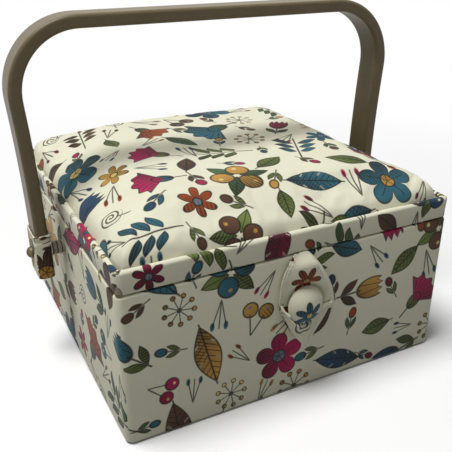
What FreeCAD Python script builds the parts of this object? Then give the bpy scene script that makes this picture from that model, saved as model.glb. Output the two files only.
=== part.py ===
# Sewing box: a cloth covered board box with a padded lid, a tray, a button closure and a bow handle.
# Millimetres. The origin is the middle of the underside, +X to the right of the front, +Y to the back, +Z up.
import FreeCAD
import Part
import Sketcher
import math
import os
import re

doc = FreeCAD.newDocument("sewing_box")

# Driving dimensions
SIZES = {
    "box_width": 260.0, "box_depth": 260.0, "base_height": 113.0, "corner_round": 4.5,
    "wall_board": 4.0, "floor_board": 4.0, "cover_cloth": 0.8, "lining_cloth": 0.8, "lining_round": 1.5,
    "underside_paper": 1.0, "underside_inset": 3.0, "turn_in": 15.0, "turn_under": 18.0,
    "floor_padding": 3.0, "padding_gap": 0.5, "padding_edge": 1.2,
    "seat_gap": 0.3, "rail_width": 6.0, "rail_height": 8.0, "rail_edge": 2.0,
    "tray_top": 70.0, "tray_height": 28.0, "tray_wall": 2.0, "tray_floor": 2.0, "tray_divider": 2.0,
    "tray_lip": 2.0, "tray_side_lip": 4.0, "tray_round": 8.0, "cell_round": 6.0, "tray_back_row": 96.0,
    "tray_end_gap": 1.8, "tray_side_gap": 6.0, "rail_gap": 0.6,
    "rim_height": 16.2, "rim_board": 3.0, "lid_board": 4.0, "rim_turn_under": 15.0,
    "cushion_cloth": 0.9, "cushion_tuck": 3.0, "crown_rise": 24.0, "crown_dome": 1.0,
    "roll_width": 45.0, "cushion_round": 6.0,
    "lid_panel": 6.0, "panel_gap": 2.0, "panel_edge": 2.0,
    "pincushion_width": 92.0, "pincushion_depth": 60.0, "pincushion_rise": 11.0, "pincushion_roll": 22.0,
    "pincushion_y": -55.0, "pincushion_round": 16.0,
    "pocket_side": 26.4, "pocket_depth": 88.0, "pocket_swell": 3.0, "pocket_y": 55.0, "pocket_round": 8.0,
    "elastic_diameter": 4.0,
    "tape_cloth": 0.6, "tape_height": 22.0, "tape_inset": 6.0,
    "ribbon_cloth": 0.6, "ribbon_width": 12.0, "ribbon_y": 60.0, "ribbon_reach": 14.0, "ribbon_end": 6.0,
    "ribbon_drop": 13.0,
    "button_x": 2.0, "button_drop": 38.0, "button_diameter": 29.0, "button_dome": 6.0, "button_skirt": 1.6,
    "button_shell": 1.2, "button_plate": 1.2, "shank_diameter": 5.0, "shank_washer": 1.2,
    "shank_washer_diameter": 12.0,
    "loop_top": 30.0, "loop_waist": 45.0, "loop_length": 74.0, "loop_waist_drop": 38.0, "loop_cloth": 1.8,
    "loop_x": 4.0, "loop_gap": 0.3, "eye_length": 32.0, "eye_height": 14.0,
    "pivot_drop": 22.5, "rivet_diameter": 4.0, "rivet_head": 9.0, "rivet_dome": 3.6, "rivet_flange": 0.8,
    "rivet_clinch": 6.5, "rivet_clinch_thick": 1.4, "rivet_washer": 1.0, "rivet_washer_diameter": 12.0,
    "running_gap": 0.05, "spacer_diameter": 10.0, "face_gap": 0.2,
    "handle_width": 24.0, "handle_thick": 9.5, "handle_round": 2.4, "handle_out": 17.2, "handle_rise": 164.1,
    "handle_leg_bend": 1350.0, "handle_corner_bend": 47.0, "handle_tail": 17.0,
    "sleeve_cloth": 1.2, "sleeve_fit": 0.25, "sleeve_up": 17.0, "sleeve_round": 3.0,
}

sheet = doc.addObject("Spreadsheet::Sheet", "Sizes")
for row, (name, millimetres) in enumerate(SIZES.items(), start=1):
    sheet.set(f"A{row}", name)
    sheet.set(f"B{row}", str(millimetres))
    sheet.setAlias(f"B{row}", name)
doc.recompute()


def rule(text):
    """An expression of the sheet's cells, from the short form in which each size is a bare name."""
    return re.sub("[a-z_]+", lambda word: f"Sizes.{word[0]}" if word[0] in SIZES else word[0], text)


def value(text):
    return float(sheet.evalExpression(rule(text)))


pieces = []


def piece(made, label):
    made.Label = label
    pieces.append(made)
    return made


# Sketches and the features that most pieces are made with
def sketch_in(body, name, plane, x="0", y="0", level="0"):
    """A sketch on one of the body's own planes, its origin moved in the plane and its level along the normal."""
    sketch = body.newObject("Sketcher::SketchObject", name)
    support = next(item for item in body.Origin.OriginFeatures if item.Role == plane)
    sketch.AttachmentSupport = (support, [""])
    sketch.MapMode = "FlatFace"
    for axis, place in zip("xyz", (x, y, level)):
        sketch.setExpression(f"AttachmentOffset.Base.{axis}", rule(place))
    return sketch


def arc_between(start, end, radius):
    """The arc of less than a half turn that leaves start to the left of its chord for a radius above nought."""
    chord = end - start
    left = FreeCAD.Vector(-chord.y, chord.x, 0).normalize()
    offset = math.sqrt(max(radius * radius - chord.Length * chord.Length / 4, 0.0))
    centre = (start + end) / 2 + left * math.copysign(offset, radius)
    first, last = (start, end) if radius > 0 else (end, start)
    angles = [math.atan2(point.y - centre.y, point.x - centre.x) for point in (first, last)]
    if angles[1] < angles[0]:
        angles[1] += 2 * math.pi
    circle = Part.Circle(centre, FreeCAD.Vector(0, 0, 1), abs(radius))
    return Part.ArcOfCircle(circle, angles[0], angles[1])


def outline(sketch, corners):
    """A closed outline. Each corner is (x, y) or (x, y, radius), where the radius rounds the edge that leaves it."""
    count = len(corners)
    points = [FreeCAD.Vector(value(corner[0]), value(corner[1]), 0) for corner in corners]
    edges = []
    for index, corner in enumerate(corners):
        start = points[index]
        end = points[(index + 1) % count]
        if len(corner) == 2:
            edges.append((sketch.addGeometry(Part.LineSegment(start, end)), 1, 2))
            continue
        radius = value(corner[2])
        edge = sketch.addGeometry(arc_between(start, end, radius))
        edges.append((edge, 1, 2) if radius > 0 else (edge, 2, 1))
        bound = sketch.addConstraint(Sketcher.Constraint("Radius", edge, abs(radius)))
        sketch.setExpression(f"Constraints[{bound}]", f"abs({rule(corner[2])})")
    for index, corner in enumerate(corners):
        edge, near, far = edges[index]
        before, _, joint = edges[index - 1]
        sketch.addConstraint(Sketcher.Constraint("Coincident", before, joint, edge, near))
        for axis, place, number in (("X", corner[0], points[index].x), ("Y", corner[1], points[index].y)):
            bound = sketch.addConstraint(Sketcher.Constraint(f"Distance{axis}", -1, 1, edge, near, number))
            sketch.setExpression(f"Constraints[{bound}]", rule(place))


def rounded(width, depth, radius, x="0", y="0"):
    """Corners of a rectangle with rounded corners, anticlockwise from its right side."""
    right, left = f"{x} + ( {width} ) / 2", f"{x} - ( {width} ) / 2"
    back, front = f"{y} + ( {depth} ) / 2", f"{y} - ( {depth} ) / 2"
    return [
        (right, f"{back} - ( {radius} )", radius), (f"{right} - ( {radius} )", back),
        (f"{left} + ( {radius} )", back, radius), (left, f"{back} - ( {radius} )"),
        (left, f"{front} + ( {radius} )", radius), (f"{left} + ( {radius} )", front),
        (f"{right} - ( {radius} )", front, radius), (right, f"{front} + ( {radius} )"),
    ]


def add_pad(body, name, level, height, outlines, plane="XY_Plane", x="0", y="0"):
    """Pad the area inside the first outline and outside the others, from the level along the plane's normal."""
    sketch = sketch_in(body, f"{name}_sketch", plane, x, y, level)
    for corners in outlines:
        outline(sketch, corners)
    pad = body.newObject("PartDesign::Pad", f"{name}_pad")
    pad.Profile = sketch
    pad.setExpression("Length", rule(height))
    return pad


def new_body(name):
    return doc.addObject("PartDesign::Body", f"{name}_body")


def slab(name, level, height, *outlines):
    body = new_body(name)
    add_pad(body, name, level, height, outlines)
    return body


def turned(name, corners, plane, x="0", y="0", level="0"):
    """Turn an outline a full turn about its sketch's level axis."""
    body = new_body(name)
    sketch = sketch_in(body, f"{name}_sketch", plane, x, y, level)
    outline(sketch, corners)
    turn = body.newObject("PartDesign::Revolution", f"{name}_turn")
    turn.Profile = sketch
    turn.ReferenceAxis = (sketch, ["H_Axis"])
    turn.Angle = 360
    return body


def block(name, length, width, height, x, y, z):
    box = doc.addObject("Part::Box", name)
    places = {"Length": length, "Width": width, "Height": height,
              "Placement.Base.x": x, "Placement.Base.y": y, "Placement.Base.z": z}
    for prop, place in places.items():
        box.setExpression(prop, rule(place))
    return box


def rod(name, diameter, length, direction, x, y, z):
    """A round rod from a point along a direction, for shafts and the holes that take them."""
    bar = doc.addObject("Part::Cylinder", name)
    bar.setExpression("Radius", rule(f"( {diameter} ) / 2"))
    bar.setExpression("Height", rule(length))
    bar.Placement.Rotation = FreeCAD.Rotation(FreeCAD.Vector(0, 0, 1), FreeCAD.Vector(*direction))
    for axis, place in zip("xyz", (x, y, z)):
        bar.setExpression(f"Placement.Base.{axis}", rule(place))
    return bar


def boolean(kind, name, base, tool):
    made = doc.addObject(f"Part::{kind}", name)
    made.Base = base
    made.Tool = tool
    return made


def mirrored(source, label):
    twin = doc.addObject("Part::Mirroring", label)
    twin.Source = source
    twin.Normal = FreeCAD.Vector(1, 0, 0)
    return piece(twin, label)


def soften(body, name, radius, picks):
    """Round the edges of the body's tip that the test picks."""
    doc.recompute()
    tip = body.Tip
    names = [f"Edge{index}" for index, edge in enumerate(tip.Shape.Edges, start=1) if picks(edge)]
    fillet = body.newObject("PartDesign::Fillet", f"{name}_fillet")
    fillet.Base = (tip, names)
    fillet.setExpression("Radius", rule(radius))
    return fillet


def lies_at(height):
    """A test for the edges that lie level at a height."""
    return lambda edge: max(abs(edge.BoundBox.ZMin - height), abs(edge.BoundBox.ZMax - height)) < 1e-4


# Levels and plan sizes that several pieces share
CORE_WIDTH = "box_width - 2 * cover_cloth"
CORE_DEPTH = "box_depth - 2 * cover_cloth"
CORE_ROUND = "min(corner_round - cover_cloth; 0.95 * wall_board)"
ROOM_WIDTH = f"{CORE_WIDTH} - 2 * wall_board"
ROOM_DEPTH = f"{CORE_DEPTH} - 2 * wall_board"
CLEAR_WIDTH = f"{ROOM_WIDTH} - 2 * lining_cloth"
CLEAR_DEPTH = f"{ROOM_DEPTH} - 2 * lining_cloth"
FLOOR_LOW = "underside_paper + cover_cloth"
FLOOR_TOP = f"{FLOOR_LOW} + floor_board"
WALL_TOP = "base_height - cover_cloth"
WALL_HEIGHT = f"{WALL_TOP} - ( {FLOOR_TOP} )"
LID_LOW = "base_height + seat_gap"
BAND_TOP = f"{LID_LOW} + rim_height"
LID_BOARD_LOW = f"{LID_LOW} + cover_cloth"
LID_BOARD_TOP = f"{LID_BOARD_LOW} + lid_board"
RIM_TOP = f"{BAND_TOP} - cover_cloth"
RIM_IN_WIDTH = f"{CORE_WIDTH} - 2 * rim_board"
RIM_IN_DEPTH = f"{CORE_DEPTH} - 2 * rim_board"
PANEL_LOW = f"{LID_LOW} - lid_panel"
PIVOT_Z = "base_height - pivot_drop"
BUTTON_Z = "base_height - button_drop"
BOX_PLAN = rounded("box_width", "box_depth", "corner_round")
CORE_PLAN = rounded(CORE_WIDTH, CORE_DEPTH, CORE_ROUND)
ROOM_PLAN = rounded(ROOM_WIDTH, ROOM_DEPTH, "lining_round")
CLEAR_PLAN = rounded(CLEAR_WIDTH, CLEAR_DEPTH, "lining_round")


# Walls: the front and back boards run the full width, the side boards stand between them
def four_walls(name, thick, level, height, labels):
    """Front, back, left and right boards inside the cloth, with the outer corners rounded."""
    core = slab(f"{name}_core", level, height, CORE_PLAN)
    front, back, left, right = labels
    for label, y in ((front, f"- ( {CORE_DEPTH} ) / 2"), (back, f"( {CORE_DEPTH} ) / 2 - {thick}")):
        strip = block(f"{label}_strip", CORE_WIDTH, thick, height, f"- ( {CORE_WIDTH} ) / 2", y, level)
        yield label, boolean("Common", label, core, strip)
    for label, x in ((left, f"- ( {CORE_WIDTH} ) / 2"), (right, f"( {CORE_WIDTH} ) / 2 - {thick}")):
        depth = f"{CORE_DEPTH} - 2 * {thick}"
        yield label, block(label, thick, depth, height, x, f"- ( {depth} ) / 2", level)


PIVOT_HOLE = "rivet_diameter + 2 * running_gap"
SHANK_HOLE = "shank_diameter + 2 * running_gap"
pivot_bore = rod("pivot_bore", PIVOT_HOLE, "2 * box_width", (1, 0, 0), "- box_width", "0", PIVOT_Z)
shank_bore = rod("shank_bore", SHANK_HOLE, "box_depth / 2", (0, -1, 0), "button_x", "- box_depth / 4", BUTTON_Z)

WALL_LABELS = ("front_board", "back_board", "left_board", "right_board")
for label, board in four_walls("wall", "wall_board", FLOOR_TOP, WALL_HEIGHT, WALL_LABELS):
    if label == "front_board":
        board.Label = "front_board_blank"
        board = boolean("Cut", "front_board_drilled", board, shank_bore)
    elif label != "back_board":
        board.Label = f"{label}_blank"
        board = boolean("Cut", f"{label}_drilled", board, pivot_bore)
    piece(board, label)

piece(slab("bottom_board", FLOOR_LOW, "floor_board", CORE_PLAN), "bottom_board")

# The printed cloth runs up the outside, over the rim and down the inside, and is turned under the floor
cover = new_body("base_cover")
COVER_HEIGHT = "base_height - underside_paper"
UNDER_PLAN = rounded("box_width - 2 * turn_under", "box_depth - 2 * turn_under", "corner_round")
add_pad(cover, "cover_side", "underside_paper", COVER_HEIGHT, (BOX_PLAN, CORE_PLAN))
add_pad(cover, "cover_under", "underside_paper", "cover_cloth", (BOX_PLAN, UNDER_PLAN))
add_pad(cover, "cover_rim", WALL_TOP, "cover_cloth", (BOX_PLAN, CLEAR_PLAN))
add_pad(cover, "cover_turn_in", "base_height - turn_in", "turn_in", (ROOM_PLAN, CLEAR_PLAN))
cover_drilled = boolean("Cut", "base_cover_pivot_holes", cover, pivot_bore)
piece(boolean("Cut", "base_cover_drilled", cover_drilled, shank_bore), "base_cover")

UNDERSIDE_WIDTH = "box_width - 2 * underside_inset"
UNDERSIDE_DEPTH = "box_depth - 2 * underside_inset"
underside_plan = rounded(UNDERSIDE_WIDTH, UNDERSIDE_DEPTH, "corner_round")
piece(slab("underside_sheet", "0", "underside_paper", underside_plan), "underside_sheet")

# The plain lining ends where the printed cloth is turned in
LINING_HEIGHT = f"base_height - turn_in - ( {FLOOR_TOP} )"
lining = slab("base_lining", FLOOR_TOP, LINING_HEIGHT, ROOM_PLAN, CLEAR_PLAN)
lining_drilled = boolean("Cut", "base_lining_pivot_holes", lining, pivot_bore)
piece(boolean("Cut", "base_lining_drilled", lining_drilled, shank_bore), "base_lining")

PADDING_WIDTH = f"{CLEAR_WIDTH} - 2 * padding_gap"
PADDING_DEPTH = f"{CLEAR_DEPTH} - 2 * padding_gap"
floor_pad = slab("floor_pad", FLOOR_TOP, "floor_padding", rounded(PADDING_WIDTH, PADDING_DEPTH, "lining_round"))
soften(floor_pad, "floor_pad", "padding_edge", lies_at(value(f"{FLOOR_TOP} + floor_padding")))
piece(floor_pad, "floor_pad")

# Ledges on the front and back walls, with the lower edge cut back, carry the lip of the tray
RAIL_TOP = "tray_top - tray_lip - seat_gap"
RAIL_OUT = f"( {CLEAR_DEPTH} ) / 2"
for label, side in (("tray_rail_front", "-"), ("tray_rail_back", "")):
    wall = f"{side} ( {RAIL_OUT} )"
    inner = f"{side} ( {RAIL_OUT} - rail_width )"
    profile = [
        (wall, f"{RAIL_TOP} - rail_height"), (wall, RAIL_TOP), (inner, RAIL_TOP),
        (inner, f"{RAIL_TOP} - rail_height + rail_edge"),
        (f"{side} ( {RAIL_OUT} - rail_width + rail_edge )", f"{RAIL_TOP} - rail_height"),
    ]
    rail = new_body(label)
    pad = add_pad(rail, label, "0", CLEAR_WIDTH, [profile], "YZ_Plane")
    pad.Midplane = True
    piece(rail, label)

# The moulded tray hangs by its lip: one long cell behind, three in front
LIP_WIDTH = f"{CLEAR_WIDTH} - 2 * tray_side_gap"
LIP_DEPTH = f"{CLEAR_DEPTH} - 2 * tray_end_gap"
TRAY_WIDTH = f"{LIP_WIDTH} - 2 * tray_side_lip"
TRAY_DEPTH = f"{CLEAR_DEPTH} - 2 * rail_width - 2 * rail_gap"
CELLS_WIDTH = f"{TRAY_WIDTH} - 2 * tray_wall"
CELLS_DEPTH = f"{TRAY_DEPTH} - 2 * tray_wall"
FRONT_ROW = f"{CELLS_DEPTH} - tray_back_row - tray_divider"
FRONT_CELLS = 3
CELL_WIDTH = f"( {CELLS_WIDTH} - {FRONT_CELLS - 1} * tray_divider ) / {FRONT_CELLS}"
TRAY_LOW = "tray_top - tray_height"
tray_plan = rounded(TRAY_WIDTH, TRAY_DEPTH, "tray_round")
back_y = f"( {CELLS_DEPTH} ) / 2 - tray_back_row / 2"
front_y = f"- ( {CELLS_DEPTH} ) / 2 + ( {FRONT_ROW} ) / 2"
cells = [rounded(CELLS_WIDTH, "tray_back_row", "cell_round", "0", back_y)]
for index in range(FRONT_CELLS):
    step = index - (FRONT_CELLS - 1) / 2
    cells.append(rounded(CELL_WIDTH, FRONT_ROW, "cell_round", f"{step} * ( {CELL_WIDTH} + tray_divider )", front_y))
tray = new_body("tray")
add_pad(tray, "tray_floor", TRAY_LOW, "tray_floor", [tray_plan])
add_pad(tray, "tray_walls", TRAY_LOW, "tray_height", [tray_plan] + cells)
lip_plan = rounded(LIP_WIDTH, LIP_DEPTH, "tray_round")
add_pad(tray, "tray_lip", "tray_top - tray_lip", "tray_lip", [lip_plan] + cells)
piece(tray, "tray")

# Lid: a board with a band of four rim boards on it, covered as one with printed cloth
piece(slab("lid_board", LID_BOARD_LOW, "lid_board", CORE_PLAN), "lid_board")
RIM_HEIGHT = f"{RIM_TOP} - ( {LID_BOARD_TOP} )"
RIM_LABELS = ("lid_rim_front", "lid_rim_back", "lid_rim_left", "lid_rim_right")
for label, board in four_walls("rim", "rim_board", LID_BOARD_TOP, RIM_HEIGHT, RIM_LABELS):
    piece(board, label)

NEST_WIDTH = f"{RIM_IN_WIDTH} - 2 * cover_cloth"
NEST_DEPTH = f"{RIM_IN_DEPTH} - 2 * cover_cloth"
NEST_PLAN = rounded(NEST_WIDTH, NEST_DEPTH, "lining_round")
RIM_UNDER_PLAN = rounded("box_width - 2 * rim_turn_under", "box_depth - 2 * rim_turn_under", "corner_round")
rim_cover = new_body("lid_rim_cover")
add_pad(rim_cover, "band_side", LID_LOW, "rim_height", (BOX_PLAN, CORE_PLAN))
add_pad(rim_cover, "band_under", LID_LOW, "cover_cloth", (BOX_PLAN, RIM_UNDER_PLAN))
add_pad(rim_cover, "band_top", RIM_TOP, "cover_cloth", (BOX_PLAN, NEST_PLAN))
rim_inside = rounded(RIM_IN_WIDTH, RIM_IN_DEPTH, "lining_round")
add_pad(rim_cover, "band_inside", LID_BOARD_TOP, f"{BAND_TOP} - ( {LID_BOARD_TOP} )", (rim_inside, NEST_PLAN))
piece(rim_cover, "lid_rim_cover")


# Padding: a crowned form lofted through rounded rectangles, its rolled edge a quarter of an ellipse
ROLL_STEPS = 5
DOME_SHARE = 0.55


def rounded_wire(half_width, half_depth, radius, level):
    """A rectangle with rounded corners at a level, as lines and quarter arcs."""
    radius = min(radius, 0.95 * half_width, 0.95 * half_depth)
    edges = []
    centres = ((1, 1, 0), (-1, 1, 90), (-1, -1, 180), (1, -1, 270))
    corners = []
    for sign_x, sign_y, turn in centres:
        centre = FreeCAD.Vector(sign_x * (half_width - radius), sign_y * (half_depth - radius), level)
        arc = [centre + FreeCAD.Vector(math.cos(angle), math.sin(angle), 0) * radius
               for angle in (math.radians(turn), math.radians(turn + 45), math.radians(turn + 90))]
        corners.append(arc)
    for index, arc in enumerate(corners):
        edges.append(Part.Arc(*arc).toShape())
        edges.append(Part.LineSegment(arc[2], corners[(index + 1) % 4][0]).toShape())
    return Part.Wire(edges)


def crowned(width, depth, low, tuck, rise, dome, roll, radius):
    """A block from low to tuck, and on it a crown that rolls in over the roll's width and domes to the middle."""
    half_width, half_depth = width / 2, depth / 2
    sections = []
    for step in range(ROLL_STEPS + 1):
        angle = math.pi / 2 * step / ROLL_STEPS
        inset = roll * (1 - math.cos(angle))
        wire = rounded_wire(half_width - inset, half_depth - inset, radius + inset, tuck + rise * math.sin(angle))
        sections.append(wire)
    inset = roll + DOME_SHARE * (min(half_width, half_depth) - roll)
    top = tuck + rise + dome
    sections.append(rounded_wire(half_width - inset, half_depth - inset, radius + inset, top))
    crown = Part.makeLoft(sections, True)
    if tuck - low < 1e-6:
        return crown
    foot = Part.Face(rounded_wire(half_width, half_depth, radius, low)).extrude(FreeCAD.Vector(0, 0, tuck - low))
    return foot.fuse(crown).removeSplitter()


def formed(label, shape):
    made = doc.addObject("Part::Feature", label)
    made.Shape = shape
    return piece(made, label)


nest_width, nest_depth = value(NEST_WIDTH), value(NEST_DEPTH)
nest_low = value(LID_BOARD_TOP)
tuck_level = value(f"{BAND_TOP} - cushion_tuck")
cloth = value("cushion_cloth")
rise, dome, roll = value("crown_rise"), value("crown_dome"), value("roll_width")
corner = value("cushion_round")
foam = crowned(nest_width - 2 * cloth, nest_depth - 2 * cloth, nest_low, tuck_level, rise - cloth, dome, roll,
               corner - cloth)
skin = crowned(nest_width, nest_depth, nest_low, tuck_level, rise, dome, roll, corner)
formed("lid_foam", foam)
formed("lid_top_cover", skin.cut(foam))

# Under the lid: a padded panel with a pincushion and a gathered pocket
panel_plan = rounded(f"{CLEAR_WIDTH} - 2 * panel_gap", f"{CLEAR_DEPTH} - 2 * panel_gap", "corner_round")
lid_lining = slab("lid_lining", PANEL_LOW, "lid_panel", panel_plan)
soften(lid_lining, "lid_lining", "panel_edge", lies_at(value(PANEL_LOW)))
piece(lid_lining, "lid_lining")

panel_low = value(PANEL_LOW)
upside_down = FreeCAD.Rotation(FreeCAD.Vector(1, 0, 0), 180)
PINCUSHION_DOME = "pincushion_rise / 8"
pincushion = formed("pincushion", crowned(
    value("pincushion_width"), value("pincushion_depth"), 0.0, 0.0,
    value(f"pincushion_rise - {PINCUSHION_DOME}"), value(PINCUSHION_DOME), value("pincushion_roll"),
    value("pincushion_round")))
pincushion.Placement = FreeCAD.Placement(FreeCAD.Vector(0, value("pincushion_y"), panel_low), upside_down)

POCKET_WIDTH = f"{CLEAR_WIDTH} - 2 * pocket_side"
pocket = slab("lid_pocket", f"{PANEL_LOW} - pocket_swell", "pocket_swell",
              rounded(POCKET_WIDTH, "pocket_depth", "pocket_round", "0", "pocket_y"))
soften(pocket, "lid_pocket", "pocket_swell * 0.8", lies_at(value(f"{PANEL_LOW} - pocket_swell")))
piece(pocket, "lid_pocket")
ELASTIC_Y = "pocket_y - pocket_depth / 2 - elastic_diameter / 2"
piece(rod("pocket_elastic", "elastic_diameter", POCKET_WIDTH, (1, 0, 0), f"- ( {POCKET_WIDTH} ) / 2", ELASTIC_Y,
          f"{PANEL_LOW} - elastic_diameter / 2"), "pocket_elastic")

# Hinge tape along the back seam, and the ribbons that stop the lid, folded on the rim's inside
piece(block("hinge_tape", "box_width - 2 * corner_round - 2 * tape_inset", "tape_cloth", "tape_height",
            "- box_width / 2 + corner_round + tape_inset", "box_depth / 2",
            "base_height + seat_gap / 2 - tape_height / 2"), "hinge_tape")

RIBBON_OUT = f"( {CLEAR_WIDTH} ) / 2"
RIBBON_IN = f"{RIBBON_OUT} - ribbon_reach"
RIBBON_STOP = f"( {CLEAR_WIDTH} ) / 2 - panel_gap - panel_edge"
RIBBON_LEVEL = "base_height - ribbon_drop"
ribbon_profile = [
    (f"{RIBBON_OUT} - ribbon_cloth", f"{RIBBON_LEVEL} - ribbon_end"), (RIBBON_OUT, f"{RIBBON_LEVEL} - ribbon_end"),
    (RIBBON_OUT, RIBBON_LEVEL), (f"{RIBBON_IN} + ribbon_cloth", RIBBON_LEVEL),
    (f"{RIBBON_IN} + ribbon_cloth", f"{PANEL_LOW} - ribbon_cloth"), (RIBBON_STOP, f"{PANEL_LOW} - ribbon_cloth"),
    (RIBBON_STOP, PANEL_LOW), (RIBBON_IN, PANEL_LOW), (RIBBON_IN, f"{RIBBON_LEVEL} - ribbon_cloth"),
    (f"{RIBBON_OUT} - ribbon_cloth", f"{RIBBON_LEVEL} - ribbon_cloth"),
]
ribbon = new_body("stay_ribbon_right")
add_pad(ribbon, "stay_ribbon", "- ribbon_y - ribbon_width / 2", "ribbon_width", [ribbon_profile], "XZ_Plane")
piece(ribbon, "stay_ribbon_right")
mirrored(ribbon, "stay_ribbon_left")

# Covered button: a domed shell closed by a plate, on a shank held by a washer inside the wall
# Its sketches lie in the plane of the shank, with distances forward of the front face as minus x
PLATE_BACK = "box_depth / 2 + 2 * loop_gap + loop_cloth"
PLATE_FRONT = f"{PLATE_BACK} + button_plate"
SKIRT_FRONT = f"{PLATE_BACK} + button_skirt"
DOME_FRONT = f"{SKIRT_FRONT} + button_dome"
BUTTON_RADIUS = "button_diameter / 2"
SHELL_RADIUS = "button_diameter / 2 - button_shell"
DOME_BEND = "( ( button_diameter / 2 ) ^ 2 + button_dome ^ 2 ) / ( 2 * button_dome )"
HOLLOW_DOME = "( button_dome - button_shell )"
HOLLOW_BEND = f"( ( {SHELL_RADIUS} ) ^ 2 + {HOLLOW_DOME} ^ 2 ) / ( 2 * {HOLLOW_DOME} )"
button = {"plane": "YZ_Plane", "y": BUTTON_Z, "level": "button_x"}
cap_corners = [
    (f"- ( {DOME_FRONT} )", "0", f"- {DOME_BEND}"), (f"- ( {SKIRT_FRONT} )", BUTTON_RADIUS),
    (f"- ( {PLATE_BACK} )", BUTTON_RADIUS), (f"- ( {PLATE_BACK} )", SHELL_RADIUS),
    (f"- ( {SKIRT_FRONT} )", SHELL_RADIUS, HOLLOW_BEND), (f"- ( {SKIRT_FRONT} + {HOLLOW_DOME} )", "0"),
]
piece(turned("button_cap", cap_corners, **button), "button_cap")
plate_corners = [
    (f"- ( {PLATE_FRONT} )", "shank_diameter / 2"), (f"- ( {PLATE_FRONT} )", SHELL_RADIUS),
    (f"- ( {PLATE_BACK} )", SHELL_RADIUS), (f"- ( {PLATE_BACK} )", "shank_diameter / 2"),
]
piece(turned("button_back", plate_corners, **button), "button_back")
SHANK_INNER = f"( {CLEAR_DEPTH} ) / 2 - shank_washer"
shank_corners = [
    (f"- ( {PLATE_FRONT} )", "0"), (f"- ( {PLATE_FRONT} )", "shank_diameter / 2"),
    (f"- ( {SHANK_INNER} )", "shank_diameter / 2"), (f"- ( {SHANK_INNER} )", "0"),
]
piece(turned("button_shank", shank_corners, **button), "button_shank")
washer_corners = [
    (f"- ( {CLEAR_DEPTH} ) / 2", "shank_diameter / 2"), (f"- ( {CLEAR_DEPTH} ) / 2", "shank_washer_diameter / 2"),
    (f"- ( {SHANK_INNER} )", "shank_washer_diameter / 2"), (f"- ( {SHANK_INNER} )", "shank_diameter / 2"),
]
piece(turned("shank_washer", washer_corners, **button), "shank_washer")

# Closure tab: a pointed leaf of doubled cloth with an eye that slips behind the button
# Both bends of a side stand upright at the waist, so each radius follows from its end's offset and drop
WAIST_IN = "( ( loop_waist - loop_top ) / 2 )"
TIP_DROP = "( loop_length - loop_waist_drop )"
UPPER_BEND = f"( {WAIST_IN} ^ 2 + loop_waist_drop ^ 2 ) / ( 2 * {WAIST_IN} )"
LOWER_BEND = f"( ( loop_waist / 2 ) ^ 2 + {TIP_DROP} ^ 2 ) / loop_waist"
EYE_BEND = "( ( eye_length / 2 ) ^ 2 + ( eye_height / 2 ) ^ 2 ) / eye_height"
leaf_corners = [
    ("loop_top / 2", "0"), ("- loop_top / 2", "0", UPPER_BEND),
    ("- loop_waist / 2", "- loop_waist_drop", LOWER_BEND), ("0", "- loop_length", LOWER_BEND),
    ("loop_waist / 2", "- loop_waist_drop", UPPER_BEND),
]
EYE_X = "button_x - loop_x"
EYE_Z = "- button_drop"
eye_corners = [
    (f"{EYE_X} + eye_length / 2", EYE_Z, EYE_BEND), (f"{EYE_X} - eye_length / 2", EYE_Z, EYE_BEND),
]
leaf = new_body("closure_loop")
add_pad(leaf, "closure_leaf", "box_depth / 2 + loop_gap", "loop_cloth", (leaf_corners, eye_corners), "XZ_Plane",
        "loop_x", "base_height")
piece(leaf, "closure_loop")

# Handle pivot at the right: a domed rivet through the sleeve, the bow, a spacer and the wall
SIDE = "box_width / 2"
LEG_X = f"{SIDE} + handle_out"
SLEEVE_HALF = "handle_thick / 2 + sleeve_fit + sleeve_cloth"
SLEEVE_FACE = f"{LEG_X} + {SLEEVE_HALF}"
HEAD_BACK = f"{SLEEVE_FACE} + face_gap"
HEAD_FRONT = f"{HEAD_BACK} + rivet_flange + rivet_dome"
HEAD_BEND = "( ( rivet_head / 2 ) ^ 2 + rivet_dome ^ 2 ) / ( 2 * rivet_dome )"
WASHER_FACE = f"( {CLEAR_WIDTH} ) / 2 - rivet_washer"
CLINCH_FACE = f"{WASHER_FACE} - rivet_clinch_thick"
pivot = {"plane": "XZ_Plane", "y": PIVOT_Z}
rivet_corners = [
    (CLINCH_FACE, "0"), (HEAD_FRONT, "0", HEAD_BEND), (f"{HEAD_BACK} + rivet_flange", "rivet_head / 2"),
    (HEAD_BACK, "rivet_head / 2"), (HEAD_BACK, "rivet_diameter / 2"), (WASHER_FACE, "rivet_diameter / 2"),
    (WASHER_FACE, "rivet_clinch / 2"), (CLINCH_FACE, "rivet_clinch / 2"),
]
rivet = piece(turned("pivot_rivet_right", rivet_corners, **pivot), "pivot_rivet_right")
mirrored(rivet, "pivot_rivet_left")
rivet_washer_corners = [
    (WASHER_FACE, "rivet_diameter / 2"), (f"( {CLEAR_WIDTH} ) / 2", "rivet_diameter / 2"),
    (f"( {CLEAR_WIDTH} ) / 2", "rivet_washer_diameter / 2"), (WASHER_FACE, "rivet_washer_diameter / 2"),
]
rivet_washer = piece(turned("rivet_washer_right", rivet_washer_corners, **pivot), "rivet_washer_right")
mirrored(rivet_washer, "rivet_washer_left")
SPACER_IN = f"{SIDE} + face_gap"
SPACER_OUT = f"{LEG_X} - ( {SLEEVE_HALF} ) - face_gap"
spacer_corners = [
    (SPACER_IN, f"( {PIVOT_HOLE} ) / 2"), (SPACER_OUT, f"( {PIVOT_HOLE} ) / 2"),
    (SPACER_OUT, "spacer_diameter / 2"), (SPACER_IN, "spacer_diameter / 2"),
]
spacer = piece(turned("pivot_spacer_right", spacer_corners, **pivot), "pivot_spacer_right")
mirrored(spacer, "pivot_spacer_left")

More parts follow.
